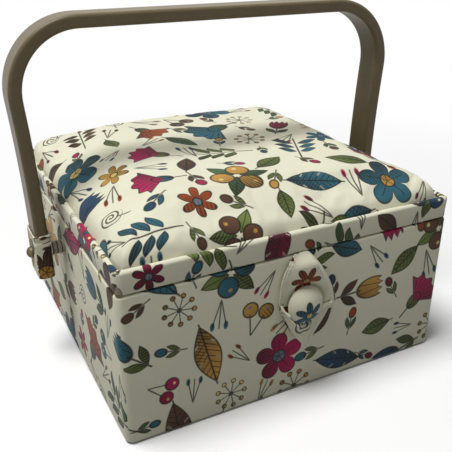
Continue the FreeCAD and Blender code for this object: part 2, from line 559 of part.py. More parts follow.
# Handle bow: a flat section swept up one leg, round two corners and down the other
# The legs stand upright at the pivots and bend gently outward up to the corners
leg_x, pivot_z = value(LEG_X), value(PIVOT_Z)
bow_rise = value("handle_rise")
leg_bend, corner_bend = value("handle_leg_bend"), value("handle_corner_bend")
lean = math.asin((bow_rise - corner_bend) / (leg_bend + corner_bend))
bow_top = pivot_z + bow_rise
bow_foot = pivot_z - value("handle_tail")
corner_x = leg_x + leg_bend - (leg_bend + corner_bend) * math.cos(lean)
corner_z = bow_top - corner_bend


def leg_point(angle):
    return leg_x + leg_bend * (1 - math.cos(angle)), pivot_z + leg_bend * math.sin(angle)


def corner_point(angle):
    return corner_x + corner_bend * math.cos(angle), corner_z + corner_bend * math.sin(angle)


def in_bow_plane(point, side):
    return FreeCAD.Vector(side * point[0], 0, point[1])


def bow_half(side):
    """The foot, leg and corner of one side, in order from the foot."""
    foot = [in_bow_plane((leg_x, height), side) for height in (bow_foot, pivot_z)]
    leg = [in_bow_plane(leg_point(angle), side) for angle in (0, lean / 2, lean)]
    turn = [in_bow_plane(corner_point(angle), side) for angle in (-lean, (math.pi / 2 - lean) / 2, math.pi / 2)]
    return [Part.LineSegment(*foot).toShape(), Part.Arc(*leg).toShape(), Part.Arc(*turn).toShape()], turn[-1]


left_edges, left_top = bow_half(-1)
right_edges, right_top = bow_half(1)
top_edge = Part.LineSegment(left_top, right_top).toShape()
bow_path = doc.addObject("Part::Feature", "bow_path")
bow_path.Shape = Part.Wire(left_edges + [top_edge] + right_edges[::-1])
bow_section = doc.addObject("Sketcher::SketchObject", "bow_section")
outline(bow_section, rounded("handle_thick", "handle_width", "handle_round", f"- ( {LEG_X} )"))
bow_section.setExpression("Placement.Base.z", rule(f"{PIVOT_Z} - handle_tail"))
bow = doc.addObject("Part::Sweep", "bow_sweep")
bow.Sections = [bow_section]
bow.Spine = (bow_path, [f"Edge{index + 1}" for index in range(len(bow_path.Shape.Edges))])
bow.Solid = True
piece(boolean("Cut", "bow_drilled", bow, pivot_bore), "handle_bow")

# Sewn sleeve over each end of the bow, closed below
SLEEVE_LOW = f"{PIVOT_Z} - handle_tail - sleeve_fit - sleeve_cloth"
SLEEVE_HEIGHT = f"{PIVOT_Z} + sleeve_up - ( {SLEEVE_LOW} )"
sleeve_plan = rounded("handle_thick + 2 * sleeve_fit + 2 * sleeve_cloth",
                      "handle_width + 2 * sleeve_fit + 2 * sleeve_cloth", "sleeve_round", LEG_X)
bow_room = rounded("handle_thick + 2 * sleeve_fit", "handle_width + 2 * sleeve_fit", "handle_round", LEG_X)
sleeve = new_body("handle_sleeve")
add_pad(sleeve, "sleeve_end", SLEEVE_LOW, "sleeve_cloth", [sleeve_plan])
add_pad(sleeve, "sleeve_side", SLEEVE_LOW, SLEEVE_HEIGHT, [sleeve_plan, bow_room])
sleeve = piece(boolean("Cut", "handle_sleeve_drilled", sleeve, pivot_bore), "handle_sleeve_right")
mirrored(sleeve, "handle_sleeve_left")

doc.recompute()
for item in doc.Objects:
    if "Invalid" in item.State or "Error" in item.State:
        raise RuntimeError(f"{item.Label} failed: {item.State}")
for item in pieces:
    if item.Shape.isNull() or not item.Shape.isValid():
        raise RuntimeError(f"{item.Label} has no valid shape")

os.makedirs("parts", exist_ok=True)
for item in pieces:
    item.Shape.exportStep(f"parts/{item.Label}.step")
    print(f"{item.Label}: {len(item.Shape.Solids)} solid, {item.Shape.Volume / 1000:.2f} cm3")
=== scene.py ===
import math

import bmesh
import bpy
from mathutils import Matrix, Vector, noise


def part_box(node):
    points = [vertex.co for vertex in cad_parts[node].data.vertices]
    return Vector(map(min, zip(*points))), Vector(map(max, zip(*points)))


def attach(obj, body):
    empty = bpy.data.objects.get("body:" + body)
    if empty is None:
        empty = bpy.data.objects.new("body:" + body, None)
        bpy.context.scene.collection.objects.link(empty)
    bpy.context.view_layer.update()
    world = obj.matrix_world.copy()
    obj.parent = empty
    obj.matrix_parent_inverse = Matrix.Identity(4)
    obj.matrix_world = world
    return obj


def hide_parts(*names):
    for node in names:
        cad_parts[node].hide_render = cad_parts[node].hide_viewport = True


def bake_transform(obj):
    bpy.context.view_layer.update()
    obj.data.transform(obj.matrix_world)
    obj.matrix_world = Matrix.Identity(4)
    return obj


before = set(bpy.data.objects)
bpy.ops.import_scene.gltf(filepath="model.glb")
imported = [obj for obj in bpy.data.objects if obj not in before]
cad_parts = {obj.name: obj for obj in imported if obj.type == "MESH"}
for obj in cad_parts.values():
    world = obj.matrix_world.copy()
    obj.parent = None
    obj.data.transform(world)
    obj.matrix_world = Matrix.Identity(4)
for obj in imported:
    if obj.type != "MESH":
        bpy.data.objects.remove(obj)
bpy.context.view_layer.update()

MM = 0.001


# Boards. The walls, the floor and the tray-shaped lid are pressed grey-brown board, cut square and glued.
# Cloth covers all of it once the box is made up, so the solids keep their plain cut shape.
def add_node(tree, kind, inputs=None, **settings):
    """Adds a shader node. An input is a number, a colour or the socket that feeds it."""
    made = tree.nodes.new(kind)
    for key, setting in settings.items():
        setattr(made, key, setting)
    for key, given in (inputs or {}).items():
        if isinstance(given, bpy.types.NodeSocket):
            tree.links.new(given, made.inputs[key])
        else:
            made.inputs[key].default_value = given
    return made

def new_finish(name, **sockets):
    """A material with its Principled shader's constant sockets set, such as Roughness or Sheen_Weight."""
    finish = bpy.data.materials.new(name)
    finish.use_nodes = True
    shader = finish.node_tree.nodes["Principled BSDF"]
    for key, number in sockets.items():
        shader.inputs[key.replace("_", " ")].default_value = number
    return finish, finish.node_tree, shader

def object_place(tree):
    return add_node(tree, "ShaderNodeTexCoord").outputs["Object"]

def colour_steps(tree, factor, stops, interpolation="LINEAR"):
    """A colour ramp from (position, colour) stops."""
    ramp = add_node(tree, "ShaderNodeValToRGB", {"Fac": factor})
    ramp.color_ramp.interpolation = interpolation
    elements = ramp.color_ramp.elements
    while len(elements) < len(stops):
        elements.new(0.5)
    for element, (position, colour) in zip(elements, stops):
        element.position = position
        element.color = (*colour, 1)
    return ramp.outputs["Color"]

def paint(tree, shader, factor, stops):
    """Colours the piece by a ramp over a factor, such as its grain."""
    tree.links.new(colour_steps(tree, factor, stops), shader.inputs["Base Color"])

def grain(tree, scale, detail=4.0, stretch=(1, 1, 1)):
    """Noise over the piece, drawn out along the axes with a small stretch number."""
    spread = add_node(tree, "ShaderNodeMapping", {"Vector": object_place(tree), "Scale": stretch})
    settings = {"Vector": spread.outputs[0], "Scale": scale, "Detail": detail}
    return add_node(tree, "ShaderNodeTexNoise", settings).outputs["Fac"]

def raise_grain(tree, shader, height, depth, strength=0.6):
    """A bump of a real depth in metres."""
    bump = add_node(tree, "ShaderNodeBump", {"Height": height, "Distance": depth, "Strength": strength})
    tree.links.new(bump.outputs["Normal"], shader.inputs["Normal"])

def dress(finish, *nodes):
    for name in nodes:
        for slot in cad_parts[name].material_slots:
            slot.material = finish

board, tree, shader = new_finish("pressed_board", Roughness=0.92)
fibres = grain(tree, 420, 6, (1, 1, 3))
paint(tree, shader, fibres, [(0.3, (0.20, 0.15, 0.10)), (0.7, (0.46, 0.38, 0.28))])
raise_grain(tree, shader, fibres, 0.2 * MM)
dress(board, "bottom_board", "front_board", "back_board", "left_board", "right_board", "lid_board",
      "lid_rim_front", "lid_rim_back", "lid_rim_left", "lid_rim_right")


# Printed cotton. The outside of the box is cream plain-weave cotton with a scattered garden print.
# Flowers, sprigs, berries and leaves are turned every way, in dark outlines with etched shading.
class Field:
    """A number that varies over the cloth, kept as a socket of the cloth's node tree."""

    def __init__(self, socket):
        self.socket = socket

    def __add__(self, other):
        return sum_of("ADD", self, other)

    def __sub__(self, other):
        return sum_of("SUBTRACT", self, other)

    def __rsub__(self, other):
        return sum_of("SUBTRACT", other, self)

    def __mul__(self, other):
        return sum_of("MULTIPLY", self, other)

    def __truediv__(self, other):
        return sum_of("DIVIDE", self, other)

    def __rtruediv__(self, other):
        return sum_of("DIVIDE", other, self)

    def __abs__(self):
        return sum_of("ABSOLUTE", self)

    __radd__ = __add__
    __rmul__ = __mul__

def sum_of(operation, *terms, clamp=False):
    """One Math node on numbers and fields."""
    home = next(term.socket.id_data for term in terms if isinstance(term, Field))
    inputs = {index: term.socket if isinstance(term, Field) else term for index, term in enumerate(terms)}
    return Field(add_node(home, "ShaderNodeMath", inputs, operation=operation, use_clamp=clamp).outputs[0])

def inside(distance, blur=0.3):
    """One where the distance is under nought, fading to nought over the blur either side."""
    return sum_of("MULTIPLY_ADD", distance, -0.5 / blur, 0.5, clamp=True)

def stroke(distance, width):
    """One along the line where the distance is nought, over its width."""
    return inside(abs(distance) - width / 2)

def wrap(field, half):
    """The field folded into the span from minus half to plus half."""
    return sum_of("WRAP", field, half, -half)

def hypot(x, y):
    return sum_of("SQRT", x * x + y * y)

def between(field, low, high):
    """The field's share of the way from low to high, held to nought and one."""
    return sum_of("MULTIPLY_ADD", field, 1 / (high - low), -low / (high - low), clamp=True)

def arch(share):
    """Nought at both ends of a share and one at its middle."""
    return sum_of("SINE", share * math.pi)

def larger(*fields):
    highest = fields[0]
    for field in fields[1:]:
        highest = sum_of("MAXIMUM", highest, field)
    return highest

def blade(across, share, width):
    """Distance from the outline of a pointed leaf with this half width at the middle of its share."""
    return abs(across) + 0.9 - (width + 0.9) * arch(share)

# Each motif gives the parts of it that are leaf, bloom, accent and ink, in millimetres about its middle.
def open_flower(x, y, r, turn):
    petal = abs(sum_of("COSINE", turn * 2.5))
    edge = r - (8.5 + 12.0 * sum_of("POWER", petal, 0.55))
    bloom = inside(edge)
    vein = stroke(r * sum_of("SINE", wrap(turn, math.pi / 5)), 0.7) * inside(r - 15) * bloom
    heart = r - 5.5
    return None, bloom, inside(heart), larger(stroke(edge, 1.3), vein, stroke(heart, 1.1))

def paired_sprig(x, y, r, turn):
    side = abs(y)
    slant = x + side * 0.65
    leaf_at = wrap(slant, 4.6)
    edge = blade(leaf_at, between(side / (1.15 - x * 0.012), 0.8, 12.5), 3.9)
    kept = inside(abs(slant - leaf_at) - 18)
    leaf = inside(edge) * kept
    stem = stroke(y, 1.3) * inside(abs(x) - 23)
    return leaf, None, None, larger(stroke(edge, 1.0) * kept, stem, stroke(leaf_at, 0.5) * leaf)

def tulip(x, y, r, turn):
    ahead = x - 9
    cup = hypot(ahead * 0.62, y) - 8.8
    teeth = ahead - 4.5 - 1.9 * abs(wrap(y, 2.75))
    edge = larger(cup, teeth)
    bloom = inside(edge)
    stem = stroke(y, 1.5) * inside(abs(x + 13) - 11)
    base = x + 21
    along = between(base * 0.83 + abs(y) * 0.56, 0, 20)
    leaf = blade(abs(y) * 0.83 - base * 0.56, along, 3.4)
    fold = stroke(abs(y) - 2.6 + ahead * 0.12, 0.7) * bloom
    return inside(leaf), bloom, None, larger(stroke(edge, 1.2), stem, stroke(leaf, 1.0), fold)

def berries(x, y, r, turn):
    third = wrap(turn, math.pi / 3)
    out, across = r * sum_of("COSINE", third), r * sum_of("SINE", third)
    edge = hypot(out - 10, across) - 7.2
    bloom = inside(edge)
    glint = inside(hypot(out - 12, across - 2) - 1.5)
    spine = r * sum_of("SINE", wrap(turn + math.pi / 3, math.pi / 3))
    rim = blade(spine, between(r, 1, 23), 4.8)
    leaf = inside(rim)
    ink = larger(stroke(edge, 1.2), stroke(rim, 1.0) * (1 - bloom), stroke(spine, 0.6) * leaf)
    return leaf, bloom, glint, ink

def long_plume(x, y, r, turn):
    edge = blade(y, between(x, -24, 24), 8.8)
    bloom = inside(edge)
    rows = x - abs(y) * 0.8
    barbs = stroke(wrap(rows, 2.4), 0.8) * bloom
    quill = stroke(y, 1.2) * inside(abs(x) - 25)
    notch = inside(abs(wrap(rows, 7.0)) - 0.7) * inside(4.5 - abs(y)) * bloom
    return None, bloom * (1 - notch), None, larger(stroke(edge, 1.1), barbs, quill)

def fan_bloom(x, y, r, turn):
    ahead = hypot(x + 6, y)
    spread = sum_of("ARCTAN2", y, x + 6)
    edge = larger(ahead - 24 - 1.6 * sum_of("COSINE", spread * 13), (abs(spread) - 0.92) * 14)
    bloom = inside(edge)
    rays = stroke(ahead * sum_of("SINE", wrap(spread, 0.121)), 0.7) * bloom * inside(12 - ahead)
    cup = hypot((x + 5) * 0.7, y) - 6.0
    stem = stroke(y, 1.6) * inside(abs(x + 17) - 8)
    return inside(cup), bloom, None, larger(stroke(edge, 1.1), rays, stroke(cup, 1.1), stem)

def star_flower(x, y, r, turn):
    edge = r - (4.0 + 6.8 * abs(sum_of("COSINE", turn * 3)))
    heart = r - 2.6
    return None, inside(edge), inside(heart), larger(stroke(edge, 1.1), stroke(heart, 0.9))

def lone_leaf(x, y, r, turn):
    edge = blade(y, between(x, -13, 13), 5.8)
    leaf = inside(edge)
    veins = stroke(wrap(x - abs(y) * 0.9, 1.7), 0.6) * leaf
    return leaf, None, None, larger(stroke(edge, 1.1), veins, stroke(y, 1.0) * inside(abs(x + 3) - 12))

def cherries(x, y, r, turn):
    edge = hypot(x - 6, abs(y) - 5.6) - 5.0
    stalk = stroke(abs(y) - (x + 11) * 0.36, 1.1) * inside(abs(x + 4) - 7)
    glint = inside(hypot(x - 7.5, abs(y) - 6.6) - 1.1)
    return None, inside(edge), glint, larger(stroke(edge, 1.1), stalk)

def seed_head(x, y, r, turn):
    ray = wrap(turn, math.pi / 9)
    across = r * sum_of("SINE", ray)
    tuft = hypot(r * sum_of("COSINE", ray) - 10.5, across) - 1.6
    spokes = stroke(across, 0.8) * inside(abs(r - 6) - 4)
    return None, None, inside(tuft), larger(spokes, stroke(tuft, 0.8), inside(r - 2))

def tendril(x, y, r, turn):
    coil = wrap(r - turn * (3.4 / (2 * math.pi)), 1.7)
    tail = stroke(y + 0.03 * x * x, 1.3) * inside(abs(x + 9) - 4)
    return None, None, None, larger(stroke(coil, 1.3) * inside(r - 8.5), tail)

def bud(x, y, r, turn):
    edge = hypot((x - 6) * 0.72, y) - 2.7
    leaf = blade(abs(y) - 1.9 - (x + 3) * 0.3, between(x, -7, 4), 1.6)
    stalk = stroke(y, 0.9) * inside(abs(x + 4) - 7)
    return inside(leaf), inside(edge), None, larger(stroke(edge, 0.9), stroke(leaf, 0.7), stalk)

def grass(x, y, r, turn):
    blades = stroke(abs(y) - (x + 10) * 0.26, 0.9) * inside(abs(x) - 9)
    tips = inside(hypot((x - 8) * 0.5, abs(y) - 4.6) - 1.5)
    return None, tips, None, larger(blades, stroke(y, 0.9) * inside(abs(x) - 10))

RASPBERRY, BURGUNDY, NAVY = (0.24, 0.012, 0.055), (0.11, 0.008, 0.022), (0.012, 0.040, 0.075)
TEAL, OCHRE, RUST = (0.022, 0.085, 0.110), (0.36, 0.20, 0.045), (0.20, 0.045, 0.014)
OLIVE, MOSS, BROWN = (0.090, 0.120, 0.030), (0.045, 0.085, 0.035), (0.070, 0.035, 0.018)
STRAW, SLATE, INK = (0.58, 0.44, 0.16), (0.12, 0.15, 0.18), (0.012, 0.009, 0.008)
CREAM = (0.80, 0.785, 0.605)
LEAF_TINTS = (OLIVE, MOSS, TEAL, BROWN, OLIVE)
BLOOM_TINTS = (RASPBERRY, NAVY, OCHRE, RUST, TEAL, BURGUNDY, BROWN)
ACCENT_TINTS = (OCHRE, STRAW, SLATE, STRAW)
JITTER = 0.12

def even_stops(colours):
    return [(index / len(colours), colour) for index, colour in enumerate(colours)]

def mix(tree, share, one, other):
    """The colour one painted over by the other where the share is one."""
    mixed = add_node(tree, "ShaderNodeMix", {0: share.socket, 6: one, 7: other}, data_type="RGBA")
    return mixed.outputs[2]

def vector_sum(tree, operation, *terms):
    """One Vector Math node on colours, places and sockets."""
    return add_node(tree, "ShaderNodeVectorMath", dict(enumerate(terms)), operation=operation).outputs[0]

def scatter(tree, cloth, canvas, cell, shift, seed, motifs, size, grown):
    """Paints one motif in each cell of a grid, moved, turned, chosen and coloured at random."""
    moved = vector_sum(tree, "ADD", cloth, (shift, shift, 0))
    grid = vector_sum(tree, "MULTIPLY", moved, (1 / cell, 1 / cell, 0))
    index = vector_sum(tree, "FLOOR", grid)
    draws = []
    for draw in (0, 1):
        seeded = vector_sum(tree, "ADD", index, (seed, draw * 7.3, seed * 0.7))
        chance = add_node(tree, "ShaderNodeTexWhiteNoise", {"Vector": seeded}, noise_dimensions="3D")
        split = add_node(tree, "ShaderNodeSeparateColor", {"Color": chance.outputs["Color"]})
        draws += [Field(socket) for socket in split.outputs]
    kind, angle, grow, tint, green, _ = draws
    middle = vector_sum(tree, "ADD", index, (0.5, 0.5, 0))
    away = vector_sum(tree, "SUBTRACT", grid, middle)
    nudge = vector_sum(tree, "SUBTRACT", chance.outputs["Color"], (0.5, 0.5, 0.5))
    jitter = vector_sum(tree, "MULTIPLY_ADD", nudge, (JITTER, JITTER, 0), away)
    turning = {"Vector": jitter, "Angle": (angle * (2 * math.pi)).socket}
    turned = add_node(tree, "ShaderNodeVectorRotate", turning, rotation_type="Z_AXIS")
    parts = add_node(tree, "ShaderNodeSeparateXYZ", {"Vector": turned.outputs[0]})
    reach = cell / (grow * (grown - size) + size)
    x, y = Field(parts.outputs[0]) * reach, Field(parts.outputs[1]) * reach
    r = hypot(x, y)
    turn = sum_of("ARCTAN2", y, x)
    totals = [None, None, None, None]
    choice = sum_of("FLOOR", kind * len(motifs))
    for number, motif in enumerate(motifs):
        chosen = sum_of("COMPARE", choice, number, 0.25)
        for layer, mask in enumerate(motif(x, y, r, turn)):
            if mask is not None:
                share = mask * chosen
                totals[layer] = share if totals[layer] is None else totals[layer] + share
    shade = between(x * 0.6 + y * 0.8, -16, 18)
    hatch = sum_of("SINE", (x * 0.8 - y * 0.6) * (2 * math.pi / 2.2))
    etched = between(hatch - shade * 2.6, -0.8, 0.1)
    leaf, bloom, accent, ink = totals
    colours = (
        (leaf, colour_steps(tree, green.socket, even_stops(LEAF_TINTS), "CONSTANT")),
        (bloom, colour_steps(tree, tint.socket, even_stops(BLOOM_TINTS), "CONSTANT")),
        (accent, colour_steps(tree, green.socket, even_stops(ACCENT_TINTS), "CONSTANT")),
    )
    for mask, colour in colours:
        if mask is None:
            continue
        light = (shade * 1.1 + 0.7).socket
        lit = add_node(tree, "ShaderNodeVectorMath", {0: colour, 3: light}, operation="SCALE")
        inked = mix(tree, etched * 0.8, lit.outputs[0], (*INK, 1))
        canvas = mix(tree, sum_of("MINIMUM", mask, 1.0), canvas, inked)
    return mix(tree, sum_of("MINIMUM", ink, 1.0) * 0.93, canvas, (*INK, 1))

CLOTH_MAP = "cloth"
PRINT_CELL, PRINT_TURN = 57, 0.33
THREAD_PITCH = 0.45 * MM
print_cloth, tree, shader = new_finish("printed_cotton", Roughness=0.82, Sheen_Weight=0.12,
                                       Sheen_Roughness=0.4, Specular_IOR_Level=0.25)
run = add_node(tree, "ShaderNodeUVMap", uv_map=CLOTH_MAP).outputs[0]
in_mm = {"Vector": run, "Scale": (1000, 1000, 1000)}
cloth_mm = add_node(tree, "ShaderNodeMapping", {**in_mm, "Rotation": (0, 0, PRINT_TURN)}).outputs[0]
aged = add_node(tree, "ShaderNodeTexNoise", {"Vector": cloth_mm, "Scale": 0.02, "Detail": 3.0})
aged_cream = tuple(channel * 0.95 for channel in CREAM)
ground = colour_steps(tree, aged.outputs["Fac"], [(0.3, CREAM), (0.7, aged_cream)])
diagonal = {**in_mm, "Rotation": (0, 0, PRINT_TURN + math.pi / 4)}
between_cells = add_node(tree, "ShaderNodeMapping", diagonal).outputs[0]
painted = scatter(tree, between_cells, ground, PRINT_CELL / math.sqrt(2), 0, 5.0, (bud, grass), 0.9, 1.25)
painted = scatter(tree, cloth_mm, painted, PRINT_CELL, PRINT_CELL / 2, 3.0,
                  (star_flower, lone_leaf, cherries, seed_head, tendril), 0.95, 1.3)
painted = scatter(tree, cloth_mm, painted, PRINT_CELL, 0, 11.0,
                  (open_flower, paired_sprig, tulip, berries, long_plume, fan_bloom), 0.86, 1.14)
tree.links.new(painted, shader.inputs["Base Color"])
turns = add_node(tree, "ShaderNodeVectorMath", {0: run, 3: 2 * math.pi / THREAD_PITCH}, operation="SCALE")
threads = add_node(tree, "ShaderNodeSeparateXYZ", {"Vector": turns.outputs[0]})
weave = sum_of("SINE", Field(threads.outputs[0])) * sum_of("SINE", Field(threads.outputs[1]))
raise_grain(tree, shader, weave.socket, 0.05 * MM, 0.5)


# Cover of the base. One length of the cotton is wrapped round the four walls, turned over the rim and 15 mm
# down the inside, and turned under the floor, where the underside sheet holds its edge.
def new_piece(name, finish):
    """Names the mesh that was just added, at the origin and unscaled, and gives it its finish."""
    made = bpy.context.object
    made.name = name
    bpy.ops.object.transform_apply(location=True, rotation=True, scale=True)
    made.data.materials.append(finish)
    return made

def deselect():
    bpy.ops.object.select_all(action="DESELECT")

def edit(select="SELECT"):
    bpy.ops.object.mode_set(mode="EDIT")
    bpy.ops.mesh.select_all(action=select)

def leave_edit():
    bpy.ops.object.mode_set(mode="OBJECT")

def quarter(inset, height, radius, start, steps=4):
    """A quarter round as (inset, height) points, from a start in degrees: 0 is outward and 90 is up."""
    angles = [math.radians(start + 90 * step / steps) for step in range(steps + 1)]
    return [(inset - radius * math.cos(angle), height + radius * math.sin(angle)) for angle in angles]

def ring_skin(name, finish, half, profile, radius, centre=(0, 0), segments=6):
    """A skin that runs round a rounded rectangle, extruded ring by ring through (inset, height) points."""
    deselect()
    (inset, height), *others = profile
    bpy.ops.mesh.primitive_plane_add(size=2, location=(*centre, height))
    bpy.context.object.scale = (half[0] - inset, half[1] - inset, 1)
    made = new_piece(name, finish)
    edit()
    bpy.ops.mesh.bevel(offset=radius, segments=segments, affect="VERTICES")
    bpy.ops.mesh.delete(type="ONLY_FACE")
    bpy.ops.mesh.select_all(action="SELECT")
    for new_inset, new_height in others:
        bpy.ops.mesh.extrude_edges_move(TRANSFORM_OT_translate={"value": (0, 0, new_height - height)})
        shrink = [(side - new_inset) / (side - inset) for side in half]
        bpy.ops.transform.resize(value=(*shrink, 1), center_override=(*centre, new_height))
        inset, height = new_inset, new_height
    return made

def recalculate():
    bpy.ops.mesh.select_all(action="SELECT")
    bpy.ops.mesh.normals_make_consistent(inside=False)

def select_edges(piece, wanted):
    """Selects those edges of the mesh in edit mode that a test picks."""
    bpy.ops.mesh.select_all(action="DESELECT")
    mesh = bmesh.from_edit_mesh(piece.data)
    for edge in mesh.edges:
        edge.select_set(wanted(edge))
    bmesh.update_edit_mesh(piece.data)

def modify(piece, kind, **settings):
    """Adds a modifier and applies it."""
    bpy.context.view_layer.objects.active = piece
    modifier = piece.modifiers.new(kind.title(), kind)
    for key, setting in settings.items():
        setattr(modifier, key, setting)
    bpy.ops.object.modifier_apply(modifier=modifier.name)

def smooth(piece, degrees=40):
    deselect()
    piece.select_set(True)
    bpy.context.view_layer.objects.active = piece
    bpy.ops.object.shade_smooth_by_angle(angle=math.radians(degrees))

def lay_cloth(piece, place):
    """Gives each corner of each face its place on the uncut cloth, in metres."""
    layer = piece.data.uv_layers.get(CLOTH_MAP) or piece.data.uv_layers.new(name=CLOTH_MAP)
    for face in piece.data.polygons:
        for loop in face.loop_indices:
            point = piece.data.vertices[piece.data.loops[loop].vertex_index].co
            layer.data[loop].uv = place(point, face)

def round_the_box(start):
    """Lays cloth that runs round the box, its sides end to end, from the front."""
    def place(point, face):
        on_end = abs(face.center.y) / BOX_HALF[1] >= abs(face.center.x) / BOX_HALF[0]
        inset = min(BOX_HALF[0] - abs(point.x), BOX_HALF[1] - abs(point.y))
        hand = math.copysign(1, face.center.x)
        outward = face.normal.x * hand
        if on_end:
            outward = face.normal.y * math.copysign(1, face.center.y)
        if outward > 0.7:
            up = point.z
        elif face.normal.z > 0.5:
            up = point.z + inset
        elif outward < -0.5:
            up = 2 * BASE_TOP - point.z + inset
        else:
            up = point.z - inset
        if on_end:
            along = point.x if face.center.y < 0 else 4 * BOX_HALF[0] - point.x
        else:
            along = hand * (2 * BOX_HALF[0]) + hand * point.y
        return start[0] + along, start[1] + up
    return place

low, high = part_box("base_cover")
BOX_HALF = (high[0], high[1])
BASE_TOP = high[2]
COVER_CLOTH = 0.8 * MM
TURN_IN, TURN_UNDER = 15 * MM, 18 * MM
FOOT_ROUND, RIM_ROUND, RIM_DROP = 1.6 * MM, 1.7 * MM, 0.5 * MM
RIM_TOP = BASE_TOP - RIM_DROP
WALL = 5.6 * MM
CORNER_ROUND = 4.5 * MM
LINING_HALF = [side - WALL for side in BOX_HALF]
rim_width = BOX_HALF[0] - LINING_HALF[0]
cover_profile = [(TURN_UNDER, low[2])]
cover_profile += quarter(FOOT_ROUND, low[2] + FOOT_ROUND, FOOT_ROUND, -90)
cover_profile += quarter(RIM_ROUND, RIM_TOP - RIM_ROUND, RIM_ROUND, 0)
cover_profile += quarter(rim_width - RIM_ROUND, RIM_TOP - RIM_ROUND, RIM_ROUND, 90)
cover_profile += [(rim_width, BASE_TOP - TURN_IN)]
base_cover = ring_skin("base_cover_cloth", print_cloth, BOX_HALF, cover_profile, CORNER_ROUND)
recalculate()
leave_edit()
modify(base_cover, "SOLIDIFY", thickness=COVER_CLOTH * 0.9, offset=-1)
smooth(base_cover)
lay_cloth(base_cover, round_the_box((0, 0)))
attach(base_cover, "box")
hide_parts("base_cover")


# Underside sheet. Black paper-backed sheet, glued under the floor over the turned-under edge of the cotton.
# The box stands on it.
paper, tree, shader = new_finish("black_paper", Roughness=0.85)
pulp = grain(tree, 700, 5)
paint(tree, shader, pulp, [(0.3, (0.012, 0.012, 0.012)), (0.7, (0.035, 0.034, 0.033))])
raise_grain(tree, shader, pulp, 0.1 * MM)
dress(paper, "underside_sheet")


# Lining. Plain cream cotton glued to the inside of the walls, its upper edge under the turned-in print.
# The tray's two ledges are strips of board in the same cotton.
def plain_cotton(name, colour, thread=0.5 * MM, sheen=0.15):
    """Plain-weave cloth by Object coordinates, with slubs and a fine weave."""
    finish, tree, shader = new_finish(name, Roughness=0.88, Sheen_Weight=sheen, Specular_IOR_Level=0.2)
    slub = grain(tree, 260, 5, (1, 0.25, 1))
    shade = tuple(channel * 0.88 for channel in colour)
    paint(tree, shader, slub, [(0.3, shade), (0.65, colour)])
    waves = []
    for axis in ("X", "Y", "Z"):
        bands = {"Vector": object_place(tree), "Scale": 1 / thread / 3.2, "Distortion": 0.6}
        wave = add_node(tree, "ShaderNodeTexWave", bands, bands_direction=axis)
        waves.append(Field(wave.outputs["Fac"]))
    weave = waves[0] * 0.4 + waves[1] * 0.4 + waves[2] * 0.4 + Field(slub)
    raise_grain(tree, shader, weave.socket, 0.12 * MM, 0.5)
    return finish

LINING_COLOUR = (0.70, 0.655, 0.53)
lining_cotton = plain_cotton("plain_cotton", LINING_COLOUR)
low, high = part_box("base_lining")
lining_top, lining_low = high[2], low[2]
HEM, LINING_CLOTH, LINING_CORNER = 0.5 * MM, 0.6 * MM, 3 * MM
LAP_LOW, LAP_TOP = 0.7 * MM, 0.3 * MM
lining_profile = [(-LAP_LOW, lining_low), (0, lining_low + HEM)]
lining_profile += [(0, lining_top - HEM), (-LAP_TOP, lining_top)]
lining = ring_skin("wall_lining", lining_cotton, LINING_HALF, lining_profile, LINING_CORNER)
recalculate()
bpy.ops.mesh.flip_normals()
leave_edit()
modify(lining, "SOLIDIFY", thickness=LINING_CLOTH, offset=-1)
smooth(lining)
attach(lining, "box")
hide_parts("base_lining")
dress(lining_cotton, "tray_rail_front", "tray_rail_back")


# Floor pad. Thin wadding in the lining cotton, quilted in diamonds by machine.
# It lies on the floor board with its edge tucked down along the walls.
def flat_grid(name, finish, cells, half=(1, 1), centre=(0, 0, 0), turn=0):
    """A flat grid, turned about X from the plan, whose points are then moved one by one."""
    deselect()
    bpy.ops.mesh.primitive_grid_add(x_subdivisions=cells[0], y_subdivisions=cells[1], size=2,
                                    location=centre, rotation=(turn, 0, 0))
    bpy.context.object.scale = (half[0], half[1], 1)
    return new_piece(name, finish)

def close_below(piece, depth):
    """Runs the open edge of a pad straight down by the depth and closes it underneath."""
    bpy.context.view_layer.objects.active = piece
    edit("DESELECT")
    bpy.ops.mesh.select_mode(type="EDGE")
    bpy.ops.mesh.select_non_manifold()
    bpy.ops.mesh.extrude_edges_move(TRANSFORM_OT_translate={"value": (0, 0, -depth)})
    bpy.ops.mesh.edge_face_add()
    recalculate()
    leave_edit()

def edge_roll(point, centre, half, roll):
    """Nought at the border of a pad and one where the roll of its edge ends, rounded in the corners."""
    gaps = [max(side - abs(at - mid), 1e-6) for at, mid, side in zip(point, centre, half)]
    inset = (gaps[0] ** -4 + gaps[1] ** -4) ** -0.25
    share = min(inset / roll, 1)
    return math.sqrt(1 - (1 - share) ** 2)

low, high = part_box("floor_pad")
pad_half = (high[0], high[1])
pad_rise = high[2] - low[2]
QUILT, PAD_ROLL, SEAM_DEPTH = 38 * MM, 6 * MM, 0.1 * MM
floor_pad = flat_grid("floor_quilt", lining_cotton, (96, 96), pad_half, (0, 0, low[2]))
for vertex in floor_pad.data.vertices:
    seams = [abs(math.sin(math.pi * (vertex.co.x + sign * vertex.co.y) / QUILT)) for sign in (1, -1)]
    puff = 0.45 + 0.55 * (seams[0] * seams[1]) ** 0.5
    vertex.co.z += pad_rise * puff * edge_roll(vertex.co, (0, 0), pad_half, PAD_ROLL)
close_below(floor_pad, SEAM_DEPTH)
smooth(floor_pad, 60)
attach(floor_pad, "box")
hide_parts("floor_pad")


